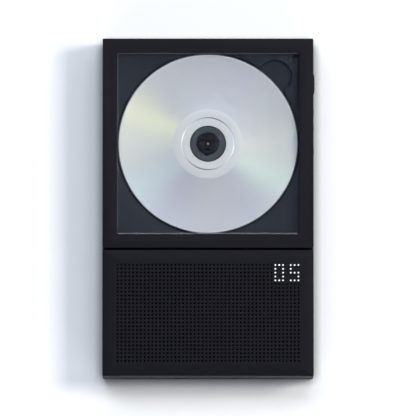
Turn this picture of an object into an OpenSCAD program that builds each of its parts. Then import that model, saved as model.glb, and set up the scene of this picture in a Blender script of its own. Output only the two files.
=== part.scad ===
/* [Disc] */
// Diameter of the disc that the player takes
disc_d = 120; // [119:0.5:120]
// Thickness of the disc
disc_t = 1.2; // [1.1:0.1:1.2]
// Diameter of the hole in the disc
disc_hole_d = 15; // [15:0.1:15.2]

/* [Case] */
// Width of the case
case_w = 140; // [139:0.5:141]
// Height of the disc door
door_h = 139.6; // [139:0.2:141]
// Height of the speaker front
speaker_h = 83.7; // [83:0.1:87]
// Gap between the door and the speaker front
seam = 1.3; // [1:0.1:1.8]
// Depth from the wall to the front
depth = 33; // [33:0.5:35]
// Thickness of the case walls
wall = 2.2; // [2:0.1:2.4]
// Depth of the door and of the speaker front
cover_depth = 8; // [8:0.25:8.5]
// Radius of the case's upright corners
corner_r = 1; // [0.6:0.1:1.4]
// Size of the bevel round the front edges
edge_bevel = 0.35; // [0.2:0.05:0.5]
// Side of the square window in the door
window = 121; // [120:0.5:122]

/* [Grille] */
// Columns of holes
grille_columns = 48; // [40:1:50]
// Rows of holes, an even number
grille_rows = 26; // [20:2:28]
// Distance from one hole to the next
grille_pitch = 2.55; // [2.4:0.05:2.6]
// Diameter of one hole
grille_hole_d = 1.3; // [1.1:0.05:1.4]
// How far the middle of the grille stands out past its top and bottom edges
grille_crown = 0.03; // [0.02:0.01:0.06]

/* [Controls] */
// Length of the jog lever
jog_l = 12.8; // [11:0.2:13]
// Height of the jog lever above the middle of the disc
jog_y = 40.8; // [36:0.2:42]
// Diameter of the side buttons
button_d = 4; // [3:0.5:4.5]
// Travel of a side button
button_travel = 0.5; // [0.3:0.1:0.5]

/* [Drive] */
// Tooth size of the sled gears, as pitch diameter per tooth
tooth_module = 0.5; // [0.5]
// Distance of the lens from the disc's axis at rest
lens_rest = 24; // [24:0.5:26]
// Travel of the lens across the disc
lens_travel = 34; // [30:1:34]

/* [Hidden] */
$fn = 48;
eps = 0.01;

// Everything is drawn as seen from the front, x to the right and y up, with z as the
// distance out from the wall, and stood upright at the end. The origin is on the wall
// behind the middle of the disc.
half_w = case_w / 2;
door_top = door_h / 2;
speaker_top = -door_h / 2 - seam;
speaker_bottom = speaker_top - speaker_h;
speaker_mid = speaker_top - speaker_h / 2;
case_h = door_top - speaker_bottom;
case_mid = (door_top + speaker_bottom) / 2;
bulkhead_mid = -door_h / 2 - seam / 2;
inner_w = case_w - 2 * wall;
inner_top = door_top - wall;
inner_bottom = speaker_bottom + wall;

pad_t = 1.2;
housing_back = pad_t + wall;
cover_back = depth - cover_depth;
parting = 0.3;
housing_front = cover_back - parting;
front_t = 2.2;

// Disc, deck and hub, as distances out from the wall
disc_front = depth - 5;
disc_back = disc_front - disc_t;
land_front = disc_front - 0.4;
deck_t = 1.8;
pocket_floor = disc_back - 1.4;
pocket_r = disc_d / 2 + 1;
deck_flange_t = 1.8;
ledge_t = 2;
ledge_front = housing_front - 0.3 - deck_flange_t;
ledge_back = ledge_front - ledge_t;
ledge_w = 3.2;
land_w = 128;
land_h = 132.8;
flange_top = inner_top - 0.3;
flange_bottom = bulkhead_mid + wall / 2 + 0.25;
recess_at = 63 * [cos(45), sin(45)];
recess_r = 11.6;
recess_floor = 24.6;
hub_hole_r = 13.5;
platform_r = 12;
platform_t = 2;
boss_r = disc_hole_d / 2 - 0.2;
boss_front = disc_front + 1.4;
claw_angles = [-97, 23, 143];
claw_w = 2.8;
claw_root = 5;
claw_travel = 0.9;

// Door and its hinges
window_bevel = 0.2;
pane = window + 4;
pane_t = 2;
pane_front = depth - 1.2;
pane_proud = 1.1;
pane_bevel = 0.9;
pane_bevel_t = 0.35;
hinge_x = -half_w + 1.8;
hinge_z = cover_back + 2.5;
hinge_y = 54;
knuckle_l = 6.8;
knuckle_gap = 0.3;
barrel_r = 1.8;
hinge_pin_r = 0.8;
swing_r = 2.7;
magnet_l = 10;

// Drive, drawn with x along the sled's travel and then turned to point down
sled_angle = -90;
chassis_front = 22.2;
chassis_t = 1.2;
chassis_back = chassis_front - chassis_t;
rail_v = 17;
rail_z = 17;
main_rail_r = 1.5;
plain_rail_r = 1;
rail_from = 11.5;
rail_to = 67.8;
rail_block = 2.4;
bushing_r = 2.6;
bushing_l = 4;
sled_front = 20.4;
sled_back = 13.8;
sled_half = 8.5;
bushing_u = sled_half - 2.4;
slot_half = 6.2;
slot_from = 17.4;
slot_to = lens_rest + lens_travel + 6;
lens_block = 10.8;
lens_block_front = 24.2;
rack_v = 22.5;
rack_from = lens_rest - 30;
rack_to = lens_rest + 9;
rack_back = 14;
rack_front = 16;
rack_seat_v = rail_v + bushing_r;
idler_at = [30, rack_v + 6 * tooth_module];
small_teeth = 12;
large_teeth = 36;
pinion_teeth = 10;
gear_reach = (large_teeth + pinion_teeth) * tooth_module / 2;
pinion_at = idler_at + gear_reach * [cos(135), sin(135)];
tooth_play = 0.12;
large_gear_z = 12.4;
gear_t = 1.2;
sled_motor_r = 6;
sled_motor_back = 14.4;
spindle_motor_r = 11.5;
spindle_motor_back = 12;
grommets = [[-21, 12], [24, 12], [-22.6, -60], [38, -58]];
grommet_r = 4;

// Wall bracket and the recess that it sits in
bracket_w = 76;
bracket_h = 46;
bracket_t = 1.5;
screw_x = 30;
screw_y = 15;
screw_hole_r = 2.2;
hook_from = 12;
hook_to = 24;
hook_y = 6;
hook_back = 7;
hook_rise = 6.5;
lift = 7;
recess_wall = 2.2;
bracket_floor_back = 4.5;
bracket_floor_front = 6.7;

// Fasteners of the case, and what stands on the back cover
post_r = 3.2;
post_dip = 0.6;
case_posts = [[61.5, 62], [-61.5, 62], [61, -62.5], [-61, -62.5],
    [64.3, -76.8], [-64.3, -76.8], [64.3, -149], [-64.3, -149]];
deck_posts = [case_posts[0], case_posts[1], case_posts[2], case_posts[3]];
front_posts = [case_posts[4], case_posts[5], case_posts[6], case_posts[7]];
screw_r = 1.2;
screw_head_r = 2.4;
screw_tip = 25.4;
pad_places = [[-50, 50], [50, 50], [-50, -140], [50, -140]];
pad_r = 5;
vent_w = 2;
vent_l = 7;
vent_pitch = 6;
vent_y = -60;
lip_h = 1.6;
lip_t = 1.2;
lip_gap = 0.1;
battery_at = [-22, 43.5];
battery_size = [68, 27];
battery_t = 6;
cradle_h = 4;

// Lower part
grille_t = 1.6;
grille_back = depth - grille_t;
baffle_back = 28.6;
baffle_t = 1.6;
driver_x = 33;
driver_y = -118.5;
driver_flange = 46;
driver_flange_t = 1.2;
driver_open_r = 19.4;
driver_screw = 19.5;
basket_back = -10.6;
magnet_back = -17;
voice_hole_r = 8.8;
gasket_t = 0.5;
surround_t = 0.4;
light_from = grille_columns - 6;
light_rows = 5;
light_pin_r = 0.6;
board_t = 1.6;
main_board_back = 6;
main_board_front = main_board_back + board_t;
board_posts = [[-54, -146], [-54, -82], [54, -146], [54, -82]];
board_post_r = 2.6;
board_screw_r = 0.9;
usb_x = -18;
usb_w = 8.94;
usb_h = 3.26;
usb_l = 7.2;
jack_x = 18;
jack_r = 1.8;
jack_z = main_board_front + 2.6;
usb_z = main_board_front + 1.63;

// Controls on the right side
control_z = 16;
wall_inner = half_w - wall;
side_board_x = 60.2;
side_board_t = 1.2;
side_board_y = -10;
side_board_l = 62;
side_board_w = 14;
button_places = [22, 12, -4];
switch_t = 0.8;
switch_w = 4.4;
stem_end = side_board_x + side_board_t + switch_t + button_travel + 0.05;
carrier_x = 63.3;
carrier_l = 10;
jog_pivot = 66;
jog_pin_r = 0.75;
jog_neck = 3.2;
jog_pad_x = 67.3;
jog_bow_r = 60;
jog_proud = 1;
jog_t = 3;

// Shapes shared by several parts

module upright() rotate([90, 0, 0]) children();

module layer(back, front) translate([0, 0, back]) linear_extrude(height = front - back) children();

module rounded(w, h, r) {
    square([w - 2 * r, h], center = true);
    square([w, h - 2 * r], center = true);
    for (x = [-1, 1], y = [-1, 1]) translate([x * (w / 2 - r), y * (h / 2 - r)]) circle(r = r);
}

// A rectangle given by its edges
module span(x0, x1, y0, y1) translate([x0, y0]) square([x1 - x0, y1 - y0]);

module ring(outer, inner) difference() {
    circle(r = outer);
    circle(r = inner);
}

// Prisms that take a bevel off the four front edges of a w by h front
module front_bevels(w, h) {
    b = edge_bevel;
    for (side = [-1, 1]) {
        translate([side * w / 2, 0, depth]) rotate([90, 0, 0])
            linear_extrude(height = h + 2, center = true)
                polygon([[-side * b, eps], [side * eps, eps], [side * eps, -b]]);
        translate([0, side * h / 2, depth]) rotate([90, 0, 90])
            linear_extrude(height = w + 2, center = true)
                polygon([[-side * b, eps], [side * eps, eps], [side * eps, -b]]);
    }
}

// Cylinder along y, from y0 to y1
module bar_y(r, y0, y1) translate([0, y0, 0]) rotate([-90, 0, 0]) cylinder(r = r, h = y1 - y0);

// Cylinder along x, from x0 to x1
module bar_x(r, x0, x1) translate([x0, 0, 0]) rotate([0, 90, 0]) cylinder(r = r, h = x1 - x0);

module drive_frame() rotate([0, 0, sled_angle]) children();

// Wall bracket, the part that stays on the wall

module wall_bracket() color("silver") upright() {
    difference() {
        layer(0, bracket_t) rounded(bracket_w, bracket_h, 3);
        for (x = [-screw_x, screw_x], y = [-screw_y, screw_y])
            translate([x, y, -1]) cylinder(r = screw_hole_r, h = bracket_t + 2);
        for (side = [-1, 1])
            translate([side * (hook_from + hook_to) / 2, hook_y - bracket_t, -1])
                mirror([0, 1, 0]) translate([0, 7, 0])
                    layer(0, bracket_t + 2) rounded(hook_to - hook_from, 14, 0.8);
    }
    for (side = [-1, 1]) translate([side * (hook_from + hook_to) / 2, 0, 0]) bracket_hook();
    for (y = [-1, 1]) translate([0, y * (bracket_h / 2 - 0.6), bracket_t])
        translate([0, 0, 0.5]) cube([bracket_w - 24, 1.2, 1], center = true);
}

// One lanced hook: a tab that comes forward and turns up
module bracket_hook() {
    w = hook_to - hook_from;
    translate([-w / 2, hook_y - bracket_t, bracket_t - eps])
        cube([w, bracket_t, hook_back + eps]);
    layer(hook_back, hook_back + bracket_t) difference() {
        span(-w / 2, w / 2, hook_y - bracket_t, hook_y + hook_rise);
        for (s = [-1, 1]) translate([s * w / 2, hook_y + hook_rise]) rotate(45)
            square(2.4, center = true);
    }
}

// Rear of the case

module bracket_recess(grow) translate([0, -lift / 2 - 0.25])
    rounded(bracket_w + 1 + 2 * grow, bracket_h + lift + 1.5 + 2 * grow, 3 + grow);

module back_cover() color("#1c1c20") upright() difference() {
    union() {
        layer(pad_t, housing_back) translate([0, case_mid]) rounded(case_w, case_h, corner_r);
        layer(pad_t, bracket_floor_front) bracket_recess(recess_wall);
        locating_lip();
        battery_cradle();
        for (p = board_posts) translate([p[0], p[1], housing_back - eps])
            cylinder(r = board_post_r, h = main_board_back - housing_back + eps);
    }
    layer(pad_t - 1, bracket_floor_back) bracket_recess(0);
    layer(bracket_floor_back - 1, bracket_floor_front + 1) for (side = [-1, 1])
        translate([side * (hook_from + hook_to) / 2, hook_y + 0.04 - 4.5])
            rounded(hook_to - hook_from + 0.8, 9, 0.4);
    for (p = case_posts) translate([p[0], p[1], 0]) {
        cylinder(r = screw_head_r + 0.2, h = pad_t + 1.2);
        cylinder(r = screw_r + 0.1, h = housing_back + 1);
    }
    for (p = pad_places) translate([p[0], p[1], 0]) cylinder(r = pad_r + 0.1, h = pad_t + 0.4);
    for (p = board_posts) translate([p[0], p[1], housing_back]) cylinder(r = board_screw_r, h = 4);
    // Vents in two rows behind the speakers
    for (row = [0, 1], i = [-5:5]) layer(pad_t - 1, housing_back + 1)
        translate([i * vent_pitch, vent_y - row * (vent_l + 3)]) rounded(vent_w, vent_l, vent_w / 2 - eps);
}

// Low walls that sit just inside the housing between its posts
module locating_lip() layer(housing_back - eps, housing_back + lip_h) {
    inset = lip_gap + lip_t / 2;
    for (side = [-1, 1]) {
        translate([side * (inner_w / 2 - inset), 0]) square([lip_t, 100], center = true);
        translate([side * (inner_w / 2 - inset), speaker_mid]) square([lip_t, 60], center = true);
    }
    for (y = [inner_top - inset, inner_bottom + inset]) translate([0, y]) square([100, lip_t], center = true);
}

// Four corners of a low wall round the battery
module battery_cradle() layer(housing_back - eps, housing_back + cradle_h) translate(battery_at)
    difference() {
        square(battery_size + [3, 3], center = true);
        square(battery_size + [0.2, 0.2], center = true);
        square([36, 2 * battery_size[1]], center = true);
    }

module case_screws() color("#8a8a8e") upright() for (p = case_posts)
    translate([p[0], p[1], 0]) difference() {
        union() {
            translate([0, 0, pad_t + 0.1]) cylinder(r = screw_head_r, h = 1.1);
            translate([0, 0, pad_t + 1.2 - eps])
                cylinder(r = screw_r, h = screw_tip - pad_t - 1.2);
        }
        for (a = [0, 90]) rotate(a) translate([0, 0, pad_t + 0.1])
            cube([2.6, 0.5, 1], center = true);
    }

module rubber_pads() color("#26262a") upright() for (p = pad_places)
    translate([p[0], p[1], 0]) rotate_extrude()
        polygon([[0, 0], [pad_r - 0.4, 0], [pad_r, 0.4], [pad_r, pad_t + 0.4], [0, pad_t + 0.4]]);

module bay(top, bottom) span(-inner_w / 2, inner_w / 2, bottom, top);

module housing() color("#1d1d21") upright() difference() {
    union() {
        layer(housing_back, housing_front) difference() {
            translate([0, case_mid]) rounded(case_w, case_h, corner_r);
            bay(inner_top, bulkhead_mid + wall / 2);
            bay(bulkhead_mid - wall / 2, inner_bottom);
        }
        layer(ledge_back, ledge_front) difference() {
            bay(inner_top, bulkhead_mid + wall / 2);
            square([inner_w - 2 * ledge_w, 2 * (inner_top - ledge_w)], center = true);
            span(-30, 48, -70, -60);
        }
        for (p = deck_posts) translate([p[0], p[1], housing_back])
            cylinder(r = post_r, h = ledge_front - post_dip - housing_back);
        for (p = front_posts) translate([p[0], p[1], housing_back])
            cylinder(r = post_r, h = housing_front - housing_back);
        hinge_barrels();
        jog_guides();
        for (y = [4, 31]) translate([0, y, control_z])
            bar_x(1.6, side_board_x + side_board_t, half_w - 1);
    }
    for (p = case_posts) translate([p[0], p[1], 0]) cylinder(r = screw_r + 0.1, h = depth);
    for (p = deck_posts) translate([p[0], p[1], ledge_front - post_dip])
        cylinder(r = post_r + 0.05, h = post_dip + 1);
    side_openings();
    bottom_openings();
}

module hinge_barrels() difference() {
    for (side = [-1, 1], end = [-1, 1]) {
        y0 = side * hinge_y + end * (knuckle_l / 2 + knuckle_gap + knuckle_l / 2) - knuckle_l / 2;
        translate([hinge_x, 0, hinge_z]) bar_y(barrel_r, y0, y0 + knuckle_l);
        translate([0, y0, 0]) rotate([-90, 0, 0]) linear_extrude(height = knuckle_l)
            span(hinge_x - 1.6, hinge_x + 0.6, -hinge_z, -housing_front + 1);
    }
    translate([hinge_x, 0, hinge_z]) bar_y(hinge_pin_r + 0.01, -half_w, half_w);
}

// Slots in the right wall for the jog lever and the buttons
module side_openings() {
    translate([half_w - wall - 0.5, jog_y, control_z]) rotate([0, 90, 0])
        linear_extrude(height = wall + 1) rounded(jog_t + 0.6, jog_l + 1.8, 1.2);
    for (y = button_places) translate([0, y, control_z])
        bar_x(button_d / 2 + 0.1, half_w - wall - 1, half_w + 1);
}

// Two cheeks inside the right wall that guide the jog carrier
module jog_guides() difference() {
    for (side = [-1, 1])
        translate([carrier_x + 0.2, jog_y + side * (carrier_l / 2 + 0.9) - 0.75, control_z - 3.4])
            cube([4.5, 1.5, 6.8]);
    translate([66.2, jog_y - 8, control_z - 2]) cube([2, 16, 4]);
}

// The sockets' openings in the bottom wall
module bottom_openings() {
    translate([usb_x, inner_bottom + 1, usb_z]) rotate([90, 0, 0])
        linear_extrude(height = wall + 2) rounded(usb_w + 0.56, usb_h + 0.54, 1.8);
    translate([jack_x, 0, jack_z]) bar_y(2.7, speaker_bottom - 1, inner_bottom + 1);
}

// Deck that the disc lies in

module deck() color("#34373f") upright() difference() {
    union() {
        layer(land_front - deck_t, land_front) rounded(land_w, land_h, 4);
        layer(ledge_front, land_front) difference() {
            rounded(land_w, land_h, 4);
            rounded(land_w - 2 * deck_t, land_h - 2 * deck_t, 4 - deck_t);
        }
        layer(ledge_front, ledge_front + deck_flange_t) difference() {
            span(-inner_w / 2 + 0.3, inner_w / 2 - 0.3, flange_bottom, flange_top);
            rounded(land_w - 2 * deck_t, land_h - 2 * deck_t, 4 - deck_t);
        }
        layer(pocket_floor - deck_t, land_front) circle(r = pocket_r + deck_t, $fn = 96);
        layer(recess_floor - deck_t, land_front) translate(recess_at) circle(r = recess_r + deck_t);
        for (p = deck_posts) translate([p[0], p[1], ledge_front - post_dip])
            cylinder(r = post_r, h = land_front - deck_t - ledge_front + post_dip + eps);
        for (p = [grommets[2], grommets[3]]) translate([p[0], p[1], pocket_floor - deck_t])
            cylinder(r = post_r, h = land_front - pocket_floor);
    }
    layer(pocket_floor, depth) circle(r = pocket_r, $fn = 96);
    layer(recess_floor, depth) translate(recess_at) circle(r = recess_r);
    layer(pocket_floor - deck_t - 1, depth) circle(r = hub_hole_r);
    drive_frame() layer(pocket_floor - 4, pocket_floor + 4)
        translate([(slot_from + slot_to) / 2, 0]) rounded(slot_to - slot_from, 2 * slot_half, 2);
    for (p = deck_posts) translate([p[0], p[1], 0]) cylinder(r = screw_r + 0.03, h = screw_tip + 0.2);
    for (p = grommets) translate([p[0], p[1], 0]) cylinder(r = 0.93, h = pocket_floor - 0.3);
    body_magnet_seat(0.1);
}

module body_magnet_seat(play) translate([wall_inner - 2.1, 0, ledge_front + 1]) cube([2.4 + 2 * play,
    magnet_l + 2 * play, 2 + 2 * play], center = true);

module body_magnet() color("#9a9ca0") upright()
    translate([wall_inner - 2.1, 0, ledge_front + 0.9]) cube([2.4, magnet_l, 1.8], center = true);

// Disc drive

module drive_chassis() color("#6d7076") upright() drive_frame() difference() {
    union() {
        layer(chassis_back, chassis_front) translate([25.9, 9]) rounded(85.8, 72, 3);
        for (u = [rail_from - 1, rail_to + 1 - rail_block], v = [-rail_v, rail_v])
            translate([u, v - 2.4, rail_z - 2.4]) cube([rail_block, 4.8, chassis_back - rail_z + 2.4 + eps]);
        translate([idler_at[0], idler_at[1], rack_front + 0.4])
            cylinder(r = 2, h = chassis_back - rack_front - 0.4 + eps);
        translate([idler_at[0], idler_at[1], large_gear_z - 0.8])
            cylinder(r = 0.8, h = chassis_back - large_gear_z + 0.8);
        for (side = [-1, 1]) translate([33.5, side * 34.6 + 9, chassis_back - 0.5])
            cube([37, 1.2, 1 + eps], center = true);
    }
    layer(chassis_back - 1, chassis_front + 1) translate([(slot_from + slot_to) / 2 - 1.2, 0])
        rounded(slot_to - slot_from + 4, 2 * slot_half + 2, 2);
    translate([0, 0, chassis_back - 1]) cylinder(r = 6.3, h = chassis_t + 2);
    for (v = [-1, 1]) translate([0, v * rail_v, rail_z])
        bar_x((v > 0 ? main_rail_r : plain_rail_r) + 0.02, rail_from, rail_to);
    translate([pinion_at[0], pinion_at[1], chassis_back - 1]) cylinder(r = 2.6, h = chassis_t + 2);
    for (p = grommets) translate([-p[1], p[0], chassis_back - 1])
        cylinder(r = 2.7, h = chassis_t + 2);
    // Lightening windows either side of the rails
    for (u = [22, 44]) layer(chassis_back - 1, chassis_front + 1)
        translate([u + 8, -14]) rounded(16, 7, 2);
    layer(chassis_back - 1, chassis_front + 1) translate([51, 26]) rounded(18, 20, 3);
}

// Rubber mounts between the deck and the chassis
module chassis_grommets() color("#202024") upright() for (p = grommets)
    translate([p[0], p[1], 0]) rotate_extrude() {
        deck_back = pocket_floor - deck_t;
        polygon([[1.5, chassis_back - 0.9], [grommet_r - 0.5, chassis_back - 0.9],
            [grommet_r, chassis_back - 0.4], [grommet_r, chassis_back], [2.68, chassis_back],
            [2.68, chassis_front], [grommet_r, chassis_front], [grommet_r, chassis_front + 0.5],
            [grommet_r - 0.5, deck_back], [1.5, deck_back]]);
    }

module chassis_screws() color("#9fa1a6") upright() for (p = grommets)
    translate([p[0], p[1], 0]) difference() {
        rotate_extrude() polygon([[0, chassis_back - 2.3], [2.4, chassis_back - 2.3],
            [2.9, chassis_back - 1.8], [2.9, chassis_back - 0.9], [0.9, chassis_back - 0.9],
            [0.9, pocket_floor - 0.4], [0, pocket_floor - 0.4]]);
        for (a = [0, 90]) rotate(a) translate([0, 0, chassis_back - 2.3])
            cube([3, 0.6, 1.2], center = true);
    }

module spindle_motor() color("#b9bbbf") upright() difference() {
    rotate_extrude() polygon([[1.1, spindle_motor_back], [spindle_motor_r - 1, spindle_motor_back],
        [spindle_motor_r, spindle_motor_back + 1], [spindle_motor_r, chassis_back - 0.6],
        [spindle_motor_r - 0.6, chassis_back], [6.2, chassis_back], [6.2, chassis_back + 0.3],
        [3, chassis_back + 0.3], [3, chassis_front + 0.6], [1.1, chassis_front + 0.6]]);
    // Three vents and the terminal flat at the back
    for (a = [0:120:240]) rotate(a) translate([6.5, 0, spindle_motor_back])
        cylinder(r = 1.4, h = 1.6, center = true);
    translate([0, spindle_motor_r - 0.5, spindle_motor_back + 1]) cube([8, 1.2, 3], center = true);
}

module rail(v, r) upright() drive_frame() translate([0, v, rail_z]) bar_x(r, rail_from, rail_to);

module main_rail() color("#c9cbd0") rail(rail_v, main_rail_r);

module plain_rail() color("#c9cbd0") rail(-rail_v, plain_rail_r);

module sled_motor() color("#b2b4b8") upright() drive_frame()
    translate([pinion_at[0], pinion_at[1], 0]) {
        intersection() {
            rotate_extrude() polygon([[0, sled_motor_back], [sled_motor_r - 0.6, sled_motor_back],
                [sled_motor_r, sled_motor_back + 0.6], [sled_motor_r, chassis_back],
                [0, chassis_back]]);
            translate([0, 0, chassis_back]) cube([30, 2 * sled_motor_r - 2, 30], center = true);
        }
        translate([0, 0, chassis_back - eps]) cylinder(r = 2.5, h = 0.8);
        translate([0, 0, large_gear_z - 0.4])
            cylinder(r = 0.5, h = sled_motor_back - large_gear_z + 0.4 + eps);
    }

// Trapezoid teeth whose width at the pitch circle leaves a little play
module gear_outline(teeth) {
    r = teeth * tooth_module / 2;
    half = (PI * tooth_module / 2 - tooth_play) / 2;
    root = r - 1.2 * tooth_module;
    tip = r + 0.9 * tooth_module;
    circle(r = root);
    for (i = [0:teeth - 1]) rotate(i * 360 / teeth) polygon([[root * 0.8, -half * 1.5],
        [root, -half * 1.5], [r, -half], [tip, -half * 0.45], [tip, half * 0.45], [r, half],
        [root, half * 1.5], [root * 0.8, half * 1.5]]);
}

// Idler: the large wheel meets the pinion, the small one moves the rack
module idler_gear() color("#e4e2da") upright() drive_frame()
    translate([idler_at[0], idler_at[1], 0]) difference() {
        union() {
            layer(large_gear_z, large_gear_z + gear_t) difference() {
                rotate(135) gear_outline(large_teeth);
                for (a = [0:60:300]) rotate(a) translate([5.6, 0]) circle(r = 1.2);
            }
            layer(large_gear_z + gear_t - eps, rack_front + 0.2) rotate(-90) gear_outline(small_teeth);
        }
        translate([0, 0, large_gear_z - 1]) cylinder(r = 0.85, h = 10);
    }

module pinion_gear() color("#e4e2da") upright() drive_frame()
    translate([pinion_at[0], pinion_at[1], 0]) difference() {
        layer(large_gear_z - 0.2, large_gear_z + gear_t + 0.2) rotate(-45 + 180 / pinion_teeth)
            gear_outline(pinion_teeth);
        translate([0, 0, large_gear_z - 1]) cylinder(r = 0.53, h = 4);
    }

module pickup_sled() color("#3a3b40") upright() drive_frame() translate([lens_rest, 0, 0])
    difference() {
        union() {
            layer(sled_back, sled_front) difference() {
                rounded(2 * sled_half, 25, 2);
                for (side = [-1, 1]) translate([side * sled_half, -11]) rotate(45)
                    square(5, center = true);
            }
            layer(sled_front - eps, lens_block_front) rounded(lens_block, lens_block, 1.2);
            for (end = [-1, 1]) {
                translate([end * bushing_u, rail_v, rail_z])
                    bar_x(bushing_r, -bushing_l / 2, bushing_l / 2);
                // Flat seat for a foot of the rack
                layer(rack_back, rack_front) translate([end * bushing_u, 0])
                    span(-bushing_l / 2, bushing_l / 2, rail_v + 1, rack_seat_v);
            }
            layer(rail_z - 1.2, rail_z + 1.2)
                span(-bushing_u - bushing_l / 2, bushing_u + bushing_l / 2, 12, rail_v - 1.8);
            layer(rail_z - 2.2, rail_z + 2.2) span(-3, 3, -rail_v - 2.4, -12);
            // Laser diode can on the sled's side
            translate([0, 4, rail_z]) bar_x(2.8, sled_half - 0.5, sled_half + 0.6);
        }
        layer(sled_front + 1, lens_block_front + 1) rounded(9.4, 9.4, 0.6);
        translate([0, rail_v, rail_z]) bar_x(main_rail_r + 0.05, -20, 20);
        layer(rail_z - 1.05, rail_z + 1.05) span(-4, 4, -rail_v - 4, -rail_v + 1.6);
        layer(sled_back - 1, sled_back + 1.2) rounded(9, 14, 1);
    }

// Rack along the sled's edge, with its two feet on the bushings
module sled_rack() color("#e4e2da") upright() drive_frame() {
    half = (PI * tooth_module / 2 - tooth_play) / 2;
    pitch = PI * tooth_module;
    first = idler_at[0] - floor((idler_at[0] - rack_from - 1) / pitch) * pitch;
    layer(rack_back, rack_front) {
        span(rack_from, rack_to, rack_v - 2, rack_v - 0.6);
        for (u = [first:pitch:rack_to - 1]) translate([u + pitch / 2, rack_v])
            polygon([[-half * 1.5, -0.7], [-half * 1.5, -0.6], [0 - half, 0],
                [-half * 0.45, 0.45], [half * 0.45, 0.45], [half, 0], [half * 1.5, -0.6],
                [half * 1.5, -0.7]]);
    }
    for (end = [-1, 1]) layer(rack_back, rack_front)
        translate([lens_rest + end * bushing_u, 0])
            span(-bushing_l / 2, bushing_l / 2, rack_seat_v, rack_v - 1);
}

module lens_holder() color("#232327") upright() drive_frame() translate([lens_rest, 0, 0])
    difference() {
        layer(pocket_floor - 1.8, pocket_floor - 0.2) rounded(8.6, 8.6, 1);
        translate([0, 0, pocket_floor - 2]) cylinder(r = 1.6, h = 3);
        translate([0, 0, pocket_floor - 0.7]) cylinder(r = 2.3, h = 3);
    }

module pickup_lens() color("#9db4d8") upright() drive_frame() translate([lens_rest, 0, 0])
    intersection() {
        translate([0, 0, pocket_floor - 0.7]) cylinder(r = 2.28, h = 2);
        translate([0, 0, pocket_floor - 3.8]) sphere(r = 4.2);
    }

// Hub that carries the disc

module turntable_hub() color("#2c2f36") upright() difference() {
    rotate_extrude() polygon([[1, disc_back - platform_t], [platform_r - 0.5, disc_back - platform_t],
        [platform_r, disc_back - platform_t + 0.5], [platform_r, disc_back],
        [platform_r - 0.4, disc_back], [platform_r - 0.4, disc_back - 0.4],
        [9.6, disc_back - 0.4], [9.6, disc_back], [boss_r, disc_back],
        [boss_r, boss_front - 0.8], [boss_r - 1.2, boss_front], [2.2, boss_front],
        [1.6, boss_front - 0.5], [1.6, disc_back], [1, disc_back]]);
    for (a = claw_angles) rotate(a)
        translate([claw_root - claw_travel - 0.7, -claw_w / 2 - 0.2, disc_back - 0.3])
            cube([6, claw_w + 0.4, 4]);
}

module grip_ring() color("#17171a") upright() layer(disc_back - 0.4, disc_back)
    ring(platform_r - 0.42, 9.62);

module motor_shaft() color("#d0d2d6") upright()
    translate([0, 0, spindle_motor_back + 0.6]) cylinder(r = 1, h = disc_back + 1 - spindle_motor_back);

// Spring claw whose nose holds the edge of the disc's hole
module hub_claw(angle) color("#3c3f47") upright() rotate(angle)
    translate([0, claw_w / 2, 0]) rotate([90, 0, 0]) linear_extrude(height = claw_w) polygon([
        [claw_root, disc_back - 0.26], [boss_r - 0.2, disc_back - 0.26], [boss_r - 0.2, disc_front + 0.06],
        [boss_r + 0.9, disc_front + 0.06], [boss_r + 0.9, disc_front + 0.4],
        [boss_r - 0.6, boss_front - 0.1], [claw_root, boss_front - 0.1]]);

module hub_claw_low() hub_claw(claw_angles[0]);

module hub_claw_right() hub_claw(claw_angles[1]);

module hub_claw_left() hub_claw(claw_angles[2]);

module compact_disc() color("#b9bfd0") upright() difference() {
    rotate_extrude($fn = 96) polygon([[disc_hole_d / 2, disc_back], [disc_d / 2, disc_back],
        [disc_d / 2, disc_front], [18, disc_front], [17.6, disc_front - 0.15],
        [17, disc_front - 0.15], [16.6, disc_front], [disc_hole_d / 2, disc_front]]);
}

// Door

module door_frame() color("#222128") upright() difference() {
    union() {
        layer(depth - front_t, depth) rounded(case_w, door_h, corner_r);
        layer(cover_back, depth) difference() {
            rounded(case_w, door_h, corner_r);
            square([inner_w, door_h - 2 * wall], center = true);
        }
        for (side = [-1, 1]) hinge_knuckle(side * hinge_y - knuckle_l / 2);
    }
    layer(depth - front_t - 1, depth + 1) square(window, center = true);
    layer(depth - front_t - 1, pane_front) square(pane + 0.2, center = true);
    hull() {
        layer(depth, depth + eps) square(window + 2 * window_bevel, center = true);
        layer(depth - window_bevel, depth - window_bevel + eps) square(window, center = true);
    }
    front_bevels(case_w, door_h);
    for (side = [-1, 1], end = [-1, 1]) hinge_notch(side * hinge_y
        + end * (knuckle_l + knuckle_gap) - knuckle_l / 2);
    translate([hinge_x, 0, hinge_z]) bar_y(hinge_pin_r + 0.05, -half_w + 4, half_w - 4);
    swing_relief();
}

module hinge_knuckle(y0) translate([0, y0, 0]) rotate([-90, 0, 0])
    linear_extrude(height = knuckle_l) {
        translate([hinge_x, -hinge_z]) circle(r = barrel_r);
        span(hinge_x, hinge_x + 1.9, -depth + 1, -hinge_z);
    }

// Room for a barrel of the housing in the door's left wall
module hinge_notch(y0) translate([0, y0 - knuckle_gap, 0])
    rotate([-90, 0, 0]) linear_extrude(height = knuckle_l + 2 * knuckle_gap)
        span(-half_w - 1, hinge_x + 3, -hinge_z - swing_r, -cover_back + 1);

// Rounds the door's rear left edge, so that it clears the housing as it swings
module swing_relief() translate([hinge_x, half_w + 1, hinge_z]) rotate([90, 0, 0])
    linear_extrude(height = case_w + 2) difference() {
        span(-4, 0, -4, 0);
        circle(r = swing_r);
    }

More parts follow.
